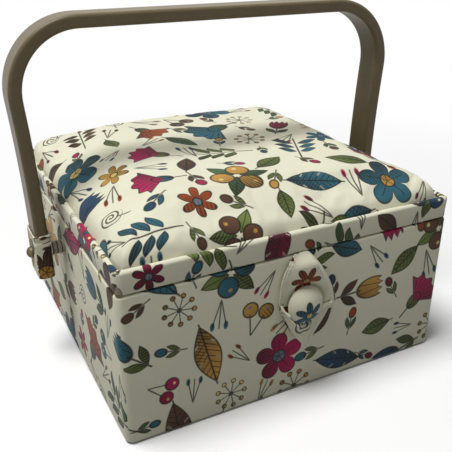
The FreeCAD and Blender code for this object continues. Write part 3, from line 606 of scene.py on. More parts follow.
# Tray. One milky moulding with a long cell at the back and three short ones in front.
# The two ledges carry it, and it lifts out.
tray_plastic, tree, shader = new_finish("milky_plastic", Roughness=0.34, IOR=1.49, Subsurface_Weight=0.25,
                                        Subsurface_Scale=0.004)
cloud = grain(tree, 24, 3)
paint(tree, shader, cloud, [(0.3, (0.74, 0.73, 0.68)), (0.7, (0.80, 0.79, 0.75))])
raise_grain(tree, shader, grain(tree, 900, 3), 0.03 * MM, 0.4)
dress(tray_plastic, "tray")


# Rivets and washers. Dull bronze rivets carry the handle, clinched over pressed steel washers inside.
# The button's plate, shank and washer are of the same steel.
bronze, tree, shader = new_finish("dull_bronze", Metallic=1.0)
patina = grain(tree, 380, 6)
paint(tree, shader, patina, [(0.35, (0.055, 0.046, 0.022)), (0.65, (0.17, 0.14, 0.075))])
tree.links.new(sum_of("MULTIPLY_ADD", Field(patina), 0.35, 0.32).socket, shader.inputs["Roughness"])
raise_grain(tree, shader, patina, 0.1 * MM, 0.4)
dress(bronze, "pivot_rivet_left", "pivot_rivet_right")

steel, tree, shader = new_finish("pressed_steel", Metallic=1.0)
rolled = grain(tree, 500, 5, (0.2, 1, 1))
paint(tree, shader, rolled, [(0.3, (0.42, 0.42, 0.41)), (0.7, (0.62, 0.62, 0.60))])
tree.links.new(sum_of("MULTIPLY_ADD", Field(rolled), 0.3, 0.28).socket, shader.inputs["Roughness"])
dress(steel, "rivet_washer_left", "rivet_washer_right", "button_back", "button_shank", "shank_washer")


# Covered button. A domed shell in the printed cotton, gathered round its skirt and shut by a steel plate.
# It hangs on its shank, so the tab behind its upper edge tips its face up a little.
def turned_skin(name, finish, centre, profile, points=72):
    """A skin turned about a line along Y, extruded through rings of (radius, forward) to its pole."""
    deselect()
    (radius, forward), *others = profile
    bpy.ops.mesh.primitive_circle_add(vertices=points, radius=radius, rotation=(math.pi / 2, 0, 0),
                                      location=(centre[0], -forward, centre[2]))
    made = new_piece(name, finish)
    edit()
    for new_radius, new_forward in others:
        bpy.ops.mesh.extrude_edges_move(TRANSFORM_OT_translate={"value": (0, forward - new_forward, 0)})
        scale = new_radius / radius
        ring_centre = (centre[0], -new_forward, centre[2])
        bpy.ops.transform.resize(value=(scale, 1, scale), center_override=ring_centre)
        radius, forward = new_radius, new_forward
    bpy.ops.mesh.extrude_edges_move()
    bpy.ops.mesh.merge(type="CENTER")
    recalculate()
    leave_edit()
    return made

def cut_flat(start):
    """Lays a piece that faces the front on its own place in the uncut print."""
    def place(point, face):
        return start[0] + point.x, start[1] + point.z
    return place

def half_of(low, high):
    return [(end - start) / 2 for start, end in zip(low, high)]

def middle_of(low, high):
    return [(start + end) / 2 for start, end in zip(low, high)]

low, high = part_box("button_cap")
BUTTON_SAG, RIM_DRAW = 0.4 * MM, 0.4 * MM
cap_middle = middle_of(low, high)
button_middle = (cap_middle[0], 0, cap_middle[2] - BUTTON_SAG)
button_radius = half_of(low, high)[0] - RIM_DRAW
skirt_back, dome_front = -high[1], -low[1]
SKIRT, SKIRT_BENDS_MM = 1.8 * MM, ((2.2, 0), (0.5, 0.2), (0, 0.8))
SHANK_HOLE, HOLE_SINK = 5 * MM, 0.4 * MM
DOME_RINGS = 11
BUTTON_GATHERS, GATHER_FROM, GATHER_DEPTH = 26, 0.86, 0.010
BUTTON_TILT, TILT_HEIGHT = math.radians(5), 7 * MM
BUTTON_PRINT = (2.2213, 0.7981)
dome = dome_front - skirt_back - SKIRT
dome_bend = (button_radius ** 2 + dome ** 2) / (2 * dome)
button_profile = [(SHANK_HOLE, skirt_back + HOLE_SINK)]
for inset, forward in SKIRT_BENDS_MM:
    button_profile.append((button_radius - inset * MM, skirt_back + forward * MM))
button_profile.append((button_radius, skirt_back + SKIRT))
for step in range(1, DOME_RINGS):
    radius = button_radius * (1 - step / DOME_RINGS)
    height = math.sqrt(dome_bend ** 2 - radius ** 2) - (dome_bend - dome)
    button_profile.append((radius, skirt_back + SKIRT + height))
button = turned_skin("button_cover", print_cloth, button_middle, button_profile)
for vertex in button.data.vertices:
    across, up = vertex.co.x - button_middle[0], vertex.co.z - button_middle[2]
    rim_share = max(0.0, math.hypot(across, up) / button_radius - GATHER_FROM) / (1 - GATHER_FROM)
    pucker = 1 + GATHER_DEPTH * rim_share * math.sin(BUTTON_GATHERS * math.atan2(up, across))
    vertex.co.x = button_middle[0] + across * pucker
    vertex.co.z = button_middle[2] + up * pucker
tilt_centre = Vector((button_middle[0], -skirt_back, button_middle[2] + TILT_HEIGHT))
tilt = Matrix.Rotation(-BUTTON_TILT, 4, "X")
button.data.transform(Matrix.Translation(tilt_centre) @ tilt @ Matrix.Translation(-tilt_centre))
modify(button, "SUBSURF", levels=1, render_levels=1)
smooth(button, 60)
lay_cloth(button, cut_flat(BUTTON_PRINT))
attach(button, "box")
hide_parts("button_cap")


# Band of the lid. The same cotton is drawn over the four rim boards and turned down inside them,
# where the padded top is tucked in, and under the board, where the panel hides its edge.
low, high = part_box("lid_rim_cover")
BAND_LIFT, BAND_UNDER = 0.3 * MM, 15 * MM
BAND_LOW, BAND_TOP = low[2] + BAND_LIFT, high[2]
NEST_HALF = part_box("lid_top_cover")[1][:2]
band_width = BOX_HALF[0] - NEST_HALF[0]
BAND_ROUND = 2.2 * MM
BAND_FOOT, BAND_LEAN = 1.0 * MM, 0.6 * MM
NEST_DEPTH = 9 * MM
BAND_CUTS, BAND_WAVE, WAVES_PER_M = 60, 0.7 * MM, 42
BAND_PRINT = (0.31, 0.47)
band_profile = [(BAND_UNDER, BAND_LOW)]
band_profile += quarter(BAND_LEAN + BAND_FOOT, BAND_LOW + BAND_FOOT, BAND_FOOT, -90)
band_profile += quarter(BAND_ROUND, BAND_TOP - BAND_ROUND, BAND_ROUND, 0)
band_profile += quarter(band_width - BAND_ROUND, BAND_TOP - BAND_ROUND, BAND_ROUND, 90)
band_profile += [(band_width, BAND_TOP - NEST_DEPTH)]
lid_band = ring_skin("lid_band_cloth", print_cloth, BOX_HALF, band_profile, CORNER_ROUND)
recalculate()
select_edges(lid_band, lambda edge: edge.calc_length() > BOX_HALF[0])
bpy.ops.mesh.subdivide(number_cuts=BAND_CUTS)
leave_edit()
for vertex in lid_band.data.vertices:
    slack = min(max((vertex.co.z - BAND_LOW) / (BAND_TOP - BAND_LOW), 0), 1)
    vertex.co += vertex.normal * BAND_WAVE * slack * noise.noise(vertex.co * WAVES_PER_M)
modify(lid_band, "SOLIDIFY", thickness=COVER_CLOTH * 0.9, offset=-1)
smooth(lid_band)
lay_cloth(lid_band, round_the_box(BAND_PRINT))
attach(lid_band, "lid")
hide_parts("lid_rim_cover")


# Padded top. The cotton is drawn over a crowned block of foam and tucked down inside the band all round.
# It is a little fuller than the foam, so it swells and puckers along the tuck.
low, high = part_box("lid_top_cover")
TUCK_DEPTH, TUCK_WIDTH = 3 * MM, 16 * MM
TUCK = BAND_TOP - TUCK_DEPTH
ROLL, DOME = 45 * MM, 1 * MM
PUCKER, PUCKER_PITCH = 2.2 * MM, 17
HOLLOW, HOLLOW_PITCH = 1.0 * MM, 2.6
CORNER_DRAW = 0.022
THREADS = 110
CUSHION_PRINT = (3.4, 0.7)

def shares(point, middle, half):
    """Where a point lies on a pad, from -1 to 1 across it and along it."""
    return [(at - mid) / side for at, mid, side in zip(point, middle, half)]

cushion = flat_grid("lid_cushion", print_cloth, (THREADS, THREADS), NEST_HALF, (0, 0, TUCK))
crown = high[2] - TUCK - DOME
for vertex in cushion.data.vertices:
    across, along = shares(vertex.co, (0, 0), NEST_HALF)
    rounding = 1 - CORNER_DRAW * abs(across * along) ** 9
    vertex.co.z += crown * edge_roll(vertex.co, (0, 0), NEST_HALF, ROLL)
    vertex.co.z += DOME * (1 - across ** 2) * (1 - along ** 2)
    near_tuck = max(0, 1 - (1 - max(abs(across), abs(along))) * NEST_HALF[0] / TUCK_WIDTH)
    pucker = noise.noise((across * PUCKER_PITCH, along * PUCKER_PITCH, 3.1))
    hollow = noise.noise((across * HOLLOW_PITCH, along * HOLLOW_PITCH, 0.7))
    vertex.co.z += PUCKER * near_tuck * (1 - near_tuck) * pucker
    vertex.co.z += HOLLOW * hollow * (1 - near_tuck)
    vertex.co.x *= rounding
    vertex.co.y *= rounding

def lengths(points, line):
    """How far each point of a line lies along it from the middle one."""
    runs = [0.0]
    for one, other in zip(line, line[1:]):
        runs.append(runs[-1] + (points[other] - points[one]).length)
    centre = runs[len(line) // 2]
    return {at: run - centre for at, run in zip(line, runs)}

def thread_runs(piece, columns, start):
    """Lays a grid's cloth by the length of its threads, counted from the middle both ways."""
    points = [vertex.co.copy() for vertex in piece.data.vertices]
    weft, warp = {}, {}
    for first in range(0, len(points), columns):
        weft.update(lengths(points, range(first, first + columns)))
    for first in range(columns):
        warp.update(lengths(points, range(first, len(points), columns)))
    layer = piece.data.uv_layers.new(name=CLOTH_MAP)
    for loop in piece.data.loops:
        at = loop.vertex_index
        layer.data[loop.index].uv = (start[0] + weft[at], start[1] + warp[at])

thread_runs(cushion, THREADS + 1, CUSHION_PRINT)

def swell(piece, pinned, pressure, slack, frames, cap):
    """Blows a pad's cloth out with the pinned points held, and lets no point move further than the cap."""
    before = [vertex.co.copy() for vertex in piece.data.vertices]
    held = piece.vertex_groups.new(name="held")
    held.add([vertex.index for vertex in piece.data.vertices if pinned(vertex.co)], 1.0, "REPLACE")
    cloth = piece.modifiers.new("Cloth", "CLOTH")
    cotton = dict(quality=6, mass=0.2, tension_stiffness=25, compression_stiffness=25, shear_stiffness=8,
                  bending_stiffness=0.6, vertex_group_mass="held", use_pressure=True,
                  uniform_pressure_force=pressure, shrink_min=-slack)
    for key, setting in cotton.items():
        setattr(cloth.settings, key, setting)
    cloth.settings.effector_weights.gravity = 0
    scene = bpy.context.scene
    for number in range(1, frames + 1):
        scene.frame_set(number)
    bpy.context.view_layer.objects.active = piece
    bpy.ops.object.modifier_apply(modifier=cloth.name)
    scene.frame_set(1)
    piece.vertex_groups.clear()
    for vertex, start in zip(piece.data.vertices, before):
        step = vertex.co - start
        if step.length > cap:
            vertex.co = start + step * (cap / step.length)

HELD_BORDER, SWELL_CAP = 2.5 * MM, 4 * MM

def on_border(point):
    return abs(point.x) > NEST_HALF[0] - HELD_BORDER or abs(point.y) > NEST_HALF[1] - HELD_BORDER

swell(cushion, on_border, pressure=1.2, slack=0.012, frames=18, cap=SWELL_CAP)
modify(cushion, "SUBSURF", levels=1, render_levels=1)
CUSHION_SINK = 6 * MM
close_below(cushion, CUSHION_SINK)
smooth(cushion, 60)
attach(cushion, "lid")
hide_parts("lid_top_cover", "lid_foam")


# Inner panel of the lid. A board padded and covered in the lining cotton.
# It is pressed into the lid and hides the turned edges of the print.
def hang(piece, depth, level):
    """Closes a pad that was raised from a level, and turns it upside down about the level."""
    close_below(piece, depth)
    for vertex in piece.data.vertices:
        vertex.co.z = 2 * level - vertex.co.z
    piece.data.flip_normals()
    smooth(piece, 60)

low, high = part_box("lid_lining")
panel_half, panel_rise = (high[0], high[1]), high[2] - low[2]
PANEL_ROLL, PANEL_EDGE, PANEL_SKIRT = 7 * MM, 0.35, 0.3
panel = flat_grid("lid_panel", lining_cotton, (64, 64), panel_half, (0, 0, high[2]))
for vertex in panel.data.vertices:
    padding = edge_roll(vertex.co, (0, 0), panel_half, PANEL_ROLL)
    vertex.co.z += panel_rise * (PANEL_EDGE + (1 - PANEL_EDGE) * padding)
hang(panel, panel_rise * PANEL_SKIRT, high[2])
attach(panel, "lid")
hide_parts("lid_lining")


# Pincushion. A small stuffed cushion of raspberry felt, drawn in at its middle by a tuft.
# It is sewn flat to the panel.
felt = plain_cotton("raspberry_felt", (0.26, 0.018, 0.065), 0.7 * MM, 0.4)
low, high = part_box("pincushion")
pin_half, pin_middle = half_of(low, high)[:2], middle_of(low, high)[:2]
pin_rise = high[2] - low[2]
PIN_ROLL, TUFT_WIDTH = 22 * MM, 5 * MM
pincushion = flat_grid("stuffed_pincushion", felt, (56, 36), pin_half, (*pin_middle, high[2]))
for vertex in pincushion.data.vertices:
    across, along = shares(vertex.co, pin_middle, pin_half)
    rounding = 1 - 0.14 * abs(across * along) ** 4
    rise = edge_roll(vertex.co, pin_middle, pin_half, PIN_ROLL)
    waist = 1 - 0.03 * (1 - across ** 2) * abs(along) ** 3
    tuft = 0.2 * math.exp(-((across * pin_half[0]) ** 2 + (along * pin_half[1]) ** 2) / TUFT_WIDTH ** 2)
    vertex.co.z += pin_rise * (0.94 * rise - tuft)
    vertex.co.x = pin_middle[0] + across * pin_half[0] * rounding
    vertex.co.y = pin_middle[1] + along * pin_half[1] * rounding * waist
modify(pincushion, "SUBSURF", levels=1, render_levels=1)
hang(pincushion, 2 * SEAM_DEPTH, high[2])
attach(pincushion, "lid")
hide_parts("pincushion")


# Pocket. A fuller piece of the lining cotton, gathered on an elastic along its mouth.
# It is sewn flat to the panel round the other three sides.
low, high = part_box("lid_pocket")
pocket_half, pocket_middle = half_of(low, high)[:2], middle_of(low, high)[:2]
pocket_rise = high[2] - low[2]
GATHERS = 23
POCKET_SWELL, POCKET_ROLL = 1.7, 12 * MM
pocket = flat_grid("gathered_pocket", lining_cotton, (240, 40), pocket_half, (*pocket_middle, high[2]))
for vertex in pocket.data.vertices:
    across, along = shares(vertex.co, pocket_middle, pocket_half)
    mouth = (1 - along) / 2
    wander = noise.noise((across * 6, along * 1.5, 0.4))
    fold = 0.5 + 0.5 * math.sin(GATHERS * math.pi * across + 2.2 * wander + along)
    swell_out = edge_roll((vertex.co.x, 0), (pocket_middle[0], 0), (pocket_half[0], 1), POCKET_ROLL)
    swell_out *= min(1, (1 - along) / 0.2)
    vertex.co.z += POCKET_SWELL * pocket_rise * swell_out * (0.3 + 0.65 * fold * (0.25 + 0.75 * mouth))
hang(pocket, SEAM_DEPTH, high[2])
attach(pocket, "lid")
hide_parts("lid_pocket")

# The elastic runs in a casing of the same cotton, which ruches where it draws the mouth in.
low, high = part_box("pocket_elastic")
elastic_radius = half_of(low, high)[2]
elastic_middle = middle_of(low, high)
RUCHE_PITCH, RUCHE_CUTS = 4.4 * MM, 179
deselect()
bpy.ops.mesh.primitive_cylinder_add(vertices=16, radius=elastic_radius * 0.8, depth=high[0] - low[0],
                                    location=elastic_middle, rotation=(0, math.pi / 2, 0))
elastic = new_piece("ruched_elastic", lining_cotton)
edit()
select_edges(elastic, lambda edge: abs(edge.verts[0].co.x - edge.verts[1].co.x) > elastic_radius)
bpy.ops.mesh.subdivide(number_cuts=RUCHE_CUTS)
leave_edit()
for vertex in elastic.data.vertices:
    unevenness = 0.8 * math.sin(vertex.co.x * 90)
    ruche = 1 + 0.18 * math.sin(2 * math.pi * vertex.co.x / RUCHE_PITCH + unevenness)
    vertex.co.y = elastic_middle[1] + (vertex.co.y - elastic_middle[1]) * ruche
    vertex.co.z = elastic_middle[2] + (vertex.co.z - elastic_middle[2]) * ruche
smooth(elastic, 60)
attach(elastic, "lid")
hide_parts("pocket_elastic")


# Hinge tape. A strip of the printed cotton glued along the back seam, half on the base and half on the lid.
low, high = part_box("hinge_tape")
tape_half, tape_middle = half_of(low, high), middle_of(low, high)
seam, BEND = tape_middle[2], 4 * MM
TAPE_PRINT = (5.13, 0.77)
tape = flat_grid("hinge_tape_cloth", print_cloth, (60, 24), tape_half[::2], tape_middle, -math.pi / 2)
modify(tape, "SOLIDIFY", thickness=high[1] - low[1], offset=0)
smooth(tape)
lay_cloth(tape, lambda point, face: (TAPE_PRINT[0] - point.x, TAPE_PRINT[1] + point.z))
seam - BEND
seam + BEND
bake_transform(tape)
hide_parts("hinge_tape")


# Stay ribbons. Woven tapes from the walls to the lid's panel, one on each side.
# They lie folded inside the shut box and hold the lid when it is open.
ribbon_stuff = plain_cotton("woven_tape", (0.62, 0.56, 0.42), 0.8 * MM, 0.2)
WALL_GAP, FOLD_IN, FOLD_BACK, RIBBON_CLOTH = 1.0 * MM, 7 * MM, 20 * MM, 0.5 * MM
HEADROOM, SEWN_END = 0.4 * MM, 2 * MM
for side in ("left", "right"):
    low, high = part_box(f"stay_ribbon_{side}")
    sign = 1 if side == "right" else -1
    outer = max(abs(low[0]), abs(high[0]))
    ribbon = flat_grid(f"lid_stay_{side}", ribbon_stuff, (4, 60))
    half_width, middle = half_of(low, high)[1], middle_of(low, high)[1]
    for vertex in ribbon.data.vertices:
        across, share = vertex.co.x, (vertex.co.y + 1) / 2
        dip = math.sin(math.pi * share)
        vertex.co.x = sign * (outer - WALL_GAP - FOLD_IN * dip ** 2)
        vertex.co.y = middle + across * half_width + FOLD_BACK * dip
        vertex.co.z = low[2] + (high[2] - low[2] - HEADROOM) * share
    modify(ribbon, "SOLIDIFY", thickness=RIBBON_CLOTH, offset=0)
    smooth(ribbon)
    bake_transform(ribbon)
    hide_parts(f"stay_ribbon_{side}")


# Closure tab. A pointed leaf of doubled cotton, sewn into the lid's front seam and slit for the button.
# Its lower part is drawn up round the button like a cup, so the slit gapes at its left end.
low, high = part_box("closure_loop")
leaf_x = middle_of(low, high)[0]
LEAF_TOP, LEAF_TIP = high[2], low[2]
LEAF_WAIST = half_of(low, high)[0]
LEAF_HEAD, HEAD_SKEW, HEAD_TUCK, WAIST_DROP = 6.5 * MM, 5 * MM, 0.9 * MM, 38 * MM
WAIST_Z = LEAF_TOP - WAIST_DROP
leaf_back = -high[1]
TAB_CLOTH, CUP_CLOTH = 0.8 * MM, 1.2 * MM
CROWN, CROWN_RUN = 6 * MM, 9 * MM
EDGE_CURL, SLIT_SPAN = 3 * MM, 15 * MM
RIGHT_FALL, RIGHT_RUN = 36 * MM, 14 * MM
LEFT_FALL, LEFT_RUN = 14 * MM, 22 * MM

def leaf_half(z):
    """Half the leaf's width at a height: one round bend above the waist and a fuller point below it."""
    if z < WAIST_Z:
        down = (WAIST_Z - z) / (WAIST_Z - LEAF_TIP)
        return LEAF_WAIST * max(1 - down, 0) * (1 + 0.4 * down)
    narrow, drop = LEAF_WAIST - LEAF_HEAD, LEAF_TOP - WAIST_Z
    bend = (narrow ** 2 + drop ** 2) / (2 * narrow)
    return LEAF_WAIST - bend + math.sqrt(max(bend ** 2 - (z - WAIST_Z) ** 2, 0))

def ease(share):
    share = min(max(share, 0), 1)
    return share * share * (3 - 2 * share)

def leaf_place(across, z):
    """The leaf's X at a share of its width: its head is sewn in to the left, its right side drawn in."""
    reach = leaf_half(z) * (0.94 if across > 0 else 1)
    return leaf_x - HEAD_SKEW * ease((z - WAIST_Z) / (LEAF_TOP - WAIST_Z)) + across * reach

def beside_button(x, z, ramp):
    """Nought behind the button and one from a share of its radius outside the rim."""
    return ease((math.hypot(x - button_middle[0], z - button_middle[2]) / button_radius - 1.0) / ramp)

def edge_curl(across, z):
    """How far the leaf's long edges curl off the box beside the slit."""
    return EDGE_CURL * math.exp(-((z - button_middle[2]) / SLIT_SPAN) ** 2) * abs(across) ** 14

def leaf_lift(across, z):
    """How far the leaf stands off the box: it swells out of the seam and folds round the button's right."""
    fallen = LEAF_TOP - z
    crown = CROWN * math.sin(math.pi / 2 * min(fallen / CROWN_RUN, 1))
    lateral = (0.3 + 0.7 * ease((across + 1) / 1.2)) * (1 - 0.85 * ease((across - 0.7) / 0.3))
    to_right = ease((across + 0.2) / 0.6)
    right_fall = ease((fallen - RIGHT_FALL) / RIGHT_RUN)
    left_fall = ease((fallen - LEFT_FALL) / LEFT_RUN)
    fade = 1 - to_right * right_fall - (1 - to_right) * left_fall
    free = beside_button(leaf_place(across, z), z, 0.45)
    return edge_curl(across, z) + crown * lateral * fade * free

def leaf_grid(name, cells, place, thickness):
    """A sheet of cotton on the box's front, set point by point from its shares across and down."""
    made = flat_grid(name, print_cloth, cells, turn=math.pi / 2)
    for vertex in made.data.vertices:
        vertex.co = place(vertex.co.x, (1 - vertex.co.z) / 2)
    edit()
    bpy.ops.mesh.remove_doubles(threshold=0.05 * MM)
    leave_edit()
    modify(made, "SOLIDIFY", thickness=thickness, offset=0)
    return made

def on_leaf(across, down):
    """The whole leaf, from its head in the seam to the tip."""
    z = LEAF_TOP + HEAD_TUCK + (LEAF_TIP - LEAF_TOP - HEAD_TUCK) * down
    return leaf_place(across, z), -leaf_back - TAB_CLOTH / 2 - leaf_lift(across, z), z

LIP_SHARE, LIP_ROUND, LIP_DROP = 0.16, 0.9 * MM, 5.2 * MM
LIP_LEFT, LIP_RIGHT = 9.5 * MM, 1.5 * MM
CUP_PROUD, CUP_CREASE, CUP_BACK, CUP_STAND = 6.4 * MM, 0.8 * MM, 1.4 * MM, 1.2 * MM
CUP_TIP = 0.2 * MM
TAB_PRINT, CUP_PRINT = (2.098, 0.757), (2.7107, 0.6367)

def on_cup(across, down):
    """The lower part of the leaf, from the rolled hem of its lip to the tip."""
    roll = 1.5 * math.pi * max(0, 1 - down / LIP_SHARE)
    down = max(0, down - LIP_SHARE) / (1 - LIP_SHARE)
    lip = button_middle[2] - LIP_DROP + (LIP_LEFT if across < 0 else LIP_RIGHT) * abs(across) ** 8
    z = lip + (LEAF_TIP + CUP_TIP - lip) * down
    x = leaf_place(across, z)
    free = beside_button(x, z, 0.12)
    flare = 1 - 0.8 * ease((across + 0.1) / 0.5)
    side_fall = (1 - 0.4 * ease(down / 0.25)) * abs(across) ** 12
    proud = CUP_PROUD * flare * (1 - side_fall) * (1 - down) ** 1.2 * free
    creases = CUP_CREASE * math.sin(across * 8.5 + 1.0) * math.sin(math.pi * down) * free * (1 - across ** 2)
    hem = LIP_ROUND * free
    y = -leaf_back - CUP_BACK - CUP_STAND * ease(down / 0.4) - edge_curl(across, z)
    return x, y - proud - creases - hem * (1 - math.cos(roll)), z + hem * math.sin(roll)

tab = leaf_grid("closure_tab", (48, 72), on_leaf, TAB_CLOTH)
lay_cloth(tab, cut_flat(TAB_PRINT))
cup = leaf_grid("tab_cup", (96, 56), on_cup, CUP_CLOTH)
lay_cloth(cup, cut_flat(CUP_PRINT))
deselect()
cup.select_set(True)
tab.select_set(True)
bpy.context.view_layer.objects.active = tab
bpy.ops.object.join()
modify(tab, "SUBSURF", levels=1, render_levels=1)
smooth(tab, 60)
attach(tab, "loop")
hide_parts("closure_loop")

# The leaf's edges are sewn down with a row of cream stitches.
thread, tree, shader = new_finish("cream_thread", Roughness=0.7, Sheen_Weight=0.3)
twist = add_node(tree, "ShaderNodeTexWave", {"Vector": object_place(tree), "Scale": 900.0},
                 bands_direction="DIAGONAL")
paint(tree, shader, twist.outputs["Fac"], [(0.2, (0.62, 0.55, 0.40)), (0.7, (0.80, 0.74, 0.58))])
raise_grain(tree, shader, twist.outputs["Fac"], 0.1 * MM)
STITCHES, STITCH_PITCH, STITCH_THICK = 15, 2.5 * MM, 0.38 * MM
FIRST_STITCH, STITCH_INSET, STITCH_STAND = 2 * MM, 2.6 * MM, 0.1 * MM

def stitch_row(name, points, body):
    """A row of short raised stitches, each lying from one point to the next with a small gap."""
    deselect()
    bpy.ops.mesh.primitive_uv_sphere_add(segments=8, ring_count=6, radius=0.05 * MM, location=points[0])
    row = new_piece(name, thread)
    edit()
    for start, end in zip(points, points[1:]):
        run = Vector(end) - Vector(start)
        turn = run.to_track_quat("X", "Z").to_euler()
        bpy.ops.mesh.primitive_uv_sphere_add(segments=10, ring_count=6, radius=1, rotation=turn,
                                             location=(Vector(start) + Vector(end)) / 2,
                                             scale=(run.length * 0.38, STITCH_THICK, STITCH_THICK))
    leave_edit()
    smooth(row, 80)
    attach(row, body)

for side, hand in (("left", -1), ("right", 1)):
    points = []
    for step in range(STITCHES):
        z = LEAF_TOP - FIRST_STITCH - STITCH_PITCH * step
        across = hand * (1 - STITCH_INSET / leaf_half(z))
        stand = leaf_back + TAB_CLOTH + STITCH_STAND + leaf_lift(across, z)
        points.append((leaf_place(across, z), -stand, z))
    stitch_row(f"tab_stitches_{side}", points, "loop")


# Handle. A flat bow moulded in satin taupe plastic and bent round two corners.
# It turns on the rivets through its two ends.
bow_plastic, tree, shader = new_finish("satin_taupe", Roughness=0.42, Specular_IOR_Level=0.3)
mottle = grain(tree, 60, 5)
paint(tree, shader, mottle, [(0.3, (0.136, 0.104, 0.052)), (0.7, (0.162, 0.127, 0.066))])
raise_grain(tree, shader, grain(tree, 1600, 3), 0.04 * MM, 0.35)
dress(bow_plastic, "handle_bow")


# Sleeves. A sewn sleeve of the printed cotton over each end of the bow.
# It is hemmed at its mouth with a sunk row of stitches and shut below.
FOLD, STITCH_DROP, STITCH_HALF, STITCH_SINK = 0.6 * MM, 4.5 * MM, 0.6 * MM, 0.35 * MM
SLEEVE_SHUT, SLEEVE_FOOT, SLEEVE_CORNER = 4.5 * MM, 2 * MM, 1.4 * MM
SLEEVE_CLOTH, SLEEVE_TURN = 1.15 * MM, 6 * MM
SLEEVE_PRINT, SIDE_STEP = (2.5803, 0.0853), 0.02

def round_sleeve(point, face):
    """Lays the four sides of a sleeve on their own places in the uncut print."""
    along = point.y if abs(face.normal.x) > abs(face.normal.y) else point.x
    return SLEEVE_PRINT[0] + along + SIDE_STEP * round(face.normal.x), SLEEVE_PRINT[1] + point.z

for side in ("left", "right"):
    low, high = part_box(f"handle_sleeve_{side}")
    sleeve_half, sleeve_middle = half_of(low, high)[:2], (middle_of(low, high)[0], 0)
    stitches = high[2] - STITCH_DROP
    sleeve_profile = [(SLEEVE_SHUT, low[2])]
    sleeve_profile += quarter(SLEEVE_FOOT, low[2] + SLEEVE_FOOT, SLEEVE_FOOT, -90)
    sleeve_profile += [(0, low[2] + (high[2] - low[2]) * step / 8) for step in range(1, 7)]
    sleeve_profile += [(0, stitches - STITCH_HALF), (STITCH_SINK, stitches), (0, stitches + STITCH_HALF)]
    sleeve_profile += quarter(FOLD, high[2] - FOLD, FOLD, 0)
    sleeve_profile += [(SLEEVE_CLOTH, high[2] - FOLD), (SLEEVE_CLOTH, high[2] - SLEEVE_TURN)]
    sleeve = ring_skin(f"bow_sleeve_{side}", print_cloth, sleeve_half, sleeve_profile, SLEEVE_CORNER,
                       sleeve_middle)
    select_edges(sleeve, lambda edge: edge.is_boundary and edge.verts[0].co.z < low[2] + MM)
    bpy.ops.mesh.edge_face_add()
    recalculate()
    leave_edit()
    smooth(sleeve, 50)
    lay_cloth(sleeve, round_sleeve)
    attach(sleeve, "handle")
    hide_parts(f"handle_sleeve_{side}")


# Spacers. Short ribbed bushes of grey-beige plastic.
# They sit on the rivets and keep the bow clear of the box.
bush, tree, shader = new_finish("grey_bush", Roughness=0.6)
ribbing = {"Vector": object_place(tree), "Scale": 95.0, "Distortion": 0.4}
rings = add_node(tree, "ShaderNodeTexWave", ribbing, bands_direction="X").outputs["Fac"]
# The grooves between the ribs are painted near black: painted shade that follows the low parts of the
# ribbing bump.
paint(tree, shader, rings, [(0.12, (0.05, 0.045, 0.035)), (0.3, (0.34, 0.31, 0.25))])
raise_grain(tree, shader, rings, 0.3 * MM)
dress(bush, "pivot_spacer_left", "pivot_spacer_right")


# Studio. A plain pale floor that fades into a pale room, under one large soft lamp above and to the left.
# The camera stands where the photograph was taken from.
def seen_by_camera(tree):
    """One for what the camera sees, also in a shiny or clear surface."""
    path = add_node(tree, "ShaderNodeLightPath")
    return larger(*(Field(path.outputs[f"Is {ray} Ray"]) for ray in ("Camera", "Glossy", "Transmission")))

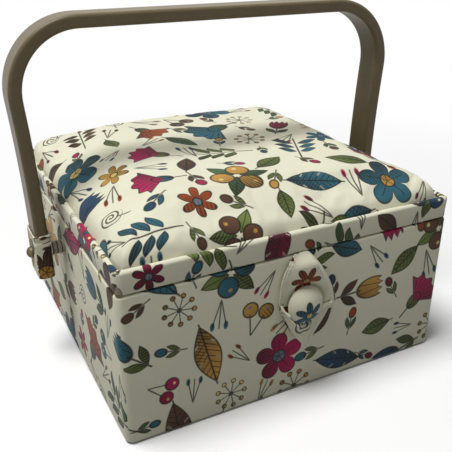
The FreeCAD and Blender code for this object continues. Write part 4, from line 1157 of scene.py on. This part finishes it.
FLOOR_BOUNCE = (0.34, 0.34, 0.34, 1)
FADE_FROM, FADE_TO = 0.25, 0.75
floor_paint, tree, shader = new_finish("pale_floor", Roughness=0.9, Specular_IOR_Level=0.1)
seen = seen_by_camera(tree)
floor_tone = colour_steps(tree, grain(tree, 3, 2), [(0.2, (0.95, 0.95, 0.95)), (0.8, (0.97, 0.97, 0.97))])
tree.links.new(mix(tree, seen, FLOOR_BOUNCE, floor_tone), shader.inputs["Base Color"])
away = add_node(tree, "ShaderNodeVectorMath", {0: object_place(tree)}, operation="LENGTH").outputs["Value"]
far_off = add_node(tree, "ShaderNodeEmission", {"Strength": 1.0})
faded = (between(Field(away), FADE_FROM, FADE_TO) * seen).socket
fade = add_node(tree, "ShaderNodeMixShader", {0: faded, 1: shader.outputs[0], 2: far_off.outputs[0]})
tree.links.new(fade.outputs[0], tree.nodes["Material Output"].inputs["Surface"])
deselect()
bpy.ops.mesh.primitive_plane_add(size=12)
floor = new_piece("studio_floor", floor_paint)

ROOM_LIGHT = 0.17
room = bpy.data.worlds.new("pale_room")
bpy.context.scene.world = room
room.use_nodes = True
tree = room.node_tree
seen = seen_by_camera(tree)
fill = add_node(tree, "ShaderNodeBackground", {"Color": (1, 1, 1, 1), "Strength": ROOM_LIGHT})
white = add_node(tree, "ShaderNodeBackground", {"Color": (1, 1, 1, 1), "Strength": 1.0})
both = add_node(tree, "ShaderNodeMixShader", {0: seen.socket, 1: fill.outputs[0], 2: white.outputs[0]})
tree.links.new(both.outputs[0], tree.nodes["World Output"].inputs["Surface"])

def set_up(name, data, place, target):
    """Puts a lamp or a camera at a place, facing a target."""
    holder = bpy.data.objects.new(name, data)
    bpy.context.collection.objects.link(holder)
    holder.location = place
    holder.rotation_euler = (Vector(target) - Vector(place)).to_track_quat("-Z", "Y").to_euler()
    return holder

LAMP_PLACE, LAMP_TARGET = (-0.8, 0.0, 3.0), (0, 0, 0.1)
LAMP_SIZE, LAMP_WATTS = 1.4, 88
lamp = bpy.data.lights.new("sky_lamp", "AREA")
lamp.shape = "DISK"
lamp.size = LAMP_SIZE
lamp.energy = LAMP_WATTS
set_up("sky_lamp", lamp, LAMP_PLACE, LAMP_TARGET)

LENS, SENSOR = 50.866, 36.0
EYE, AIM = (-0.2191, -0.4450, 0.3083), (-0.0270, -0.0705, 0.1141)
view = bpy.data.cameras.new("photo_camera")
view.lens = LENS
view.sensor_width = SENSOR
bpy.context.scene.camera = set_up("photo_camera", view, EYE, AIM)
bpy.context.scene.view_settings.view_transform = "Standard"
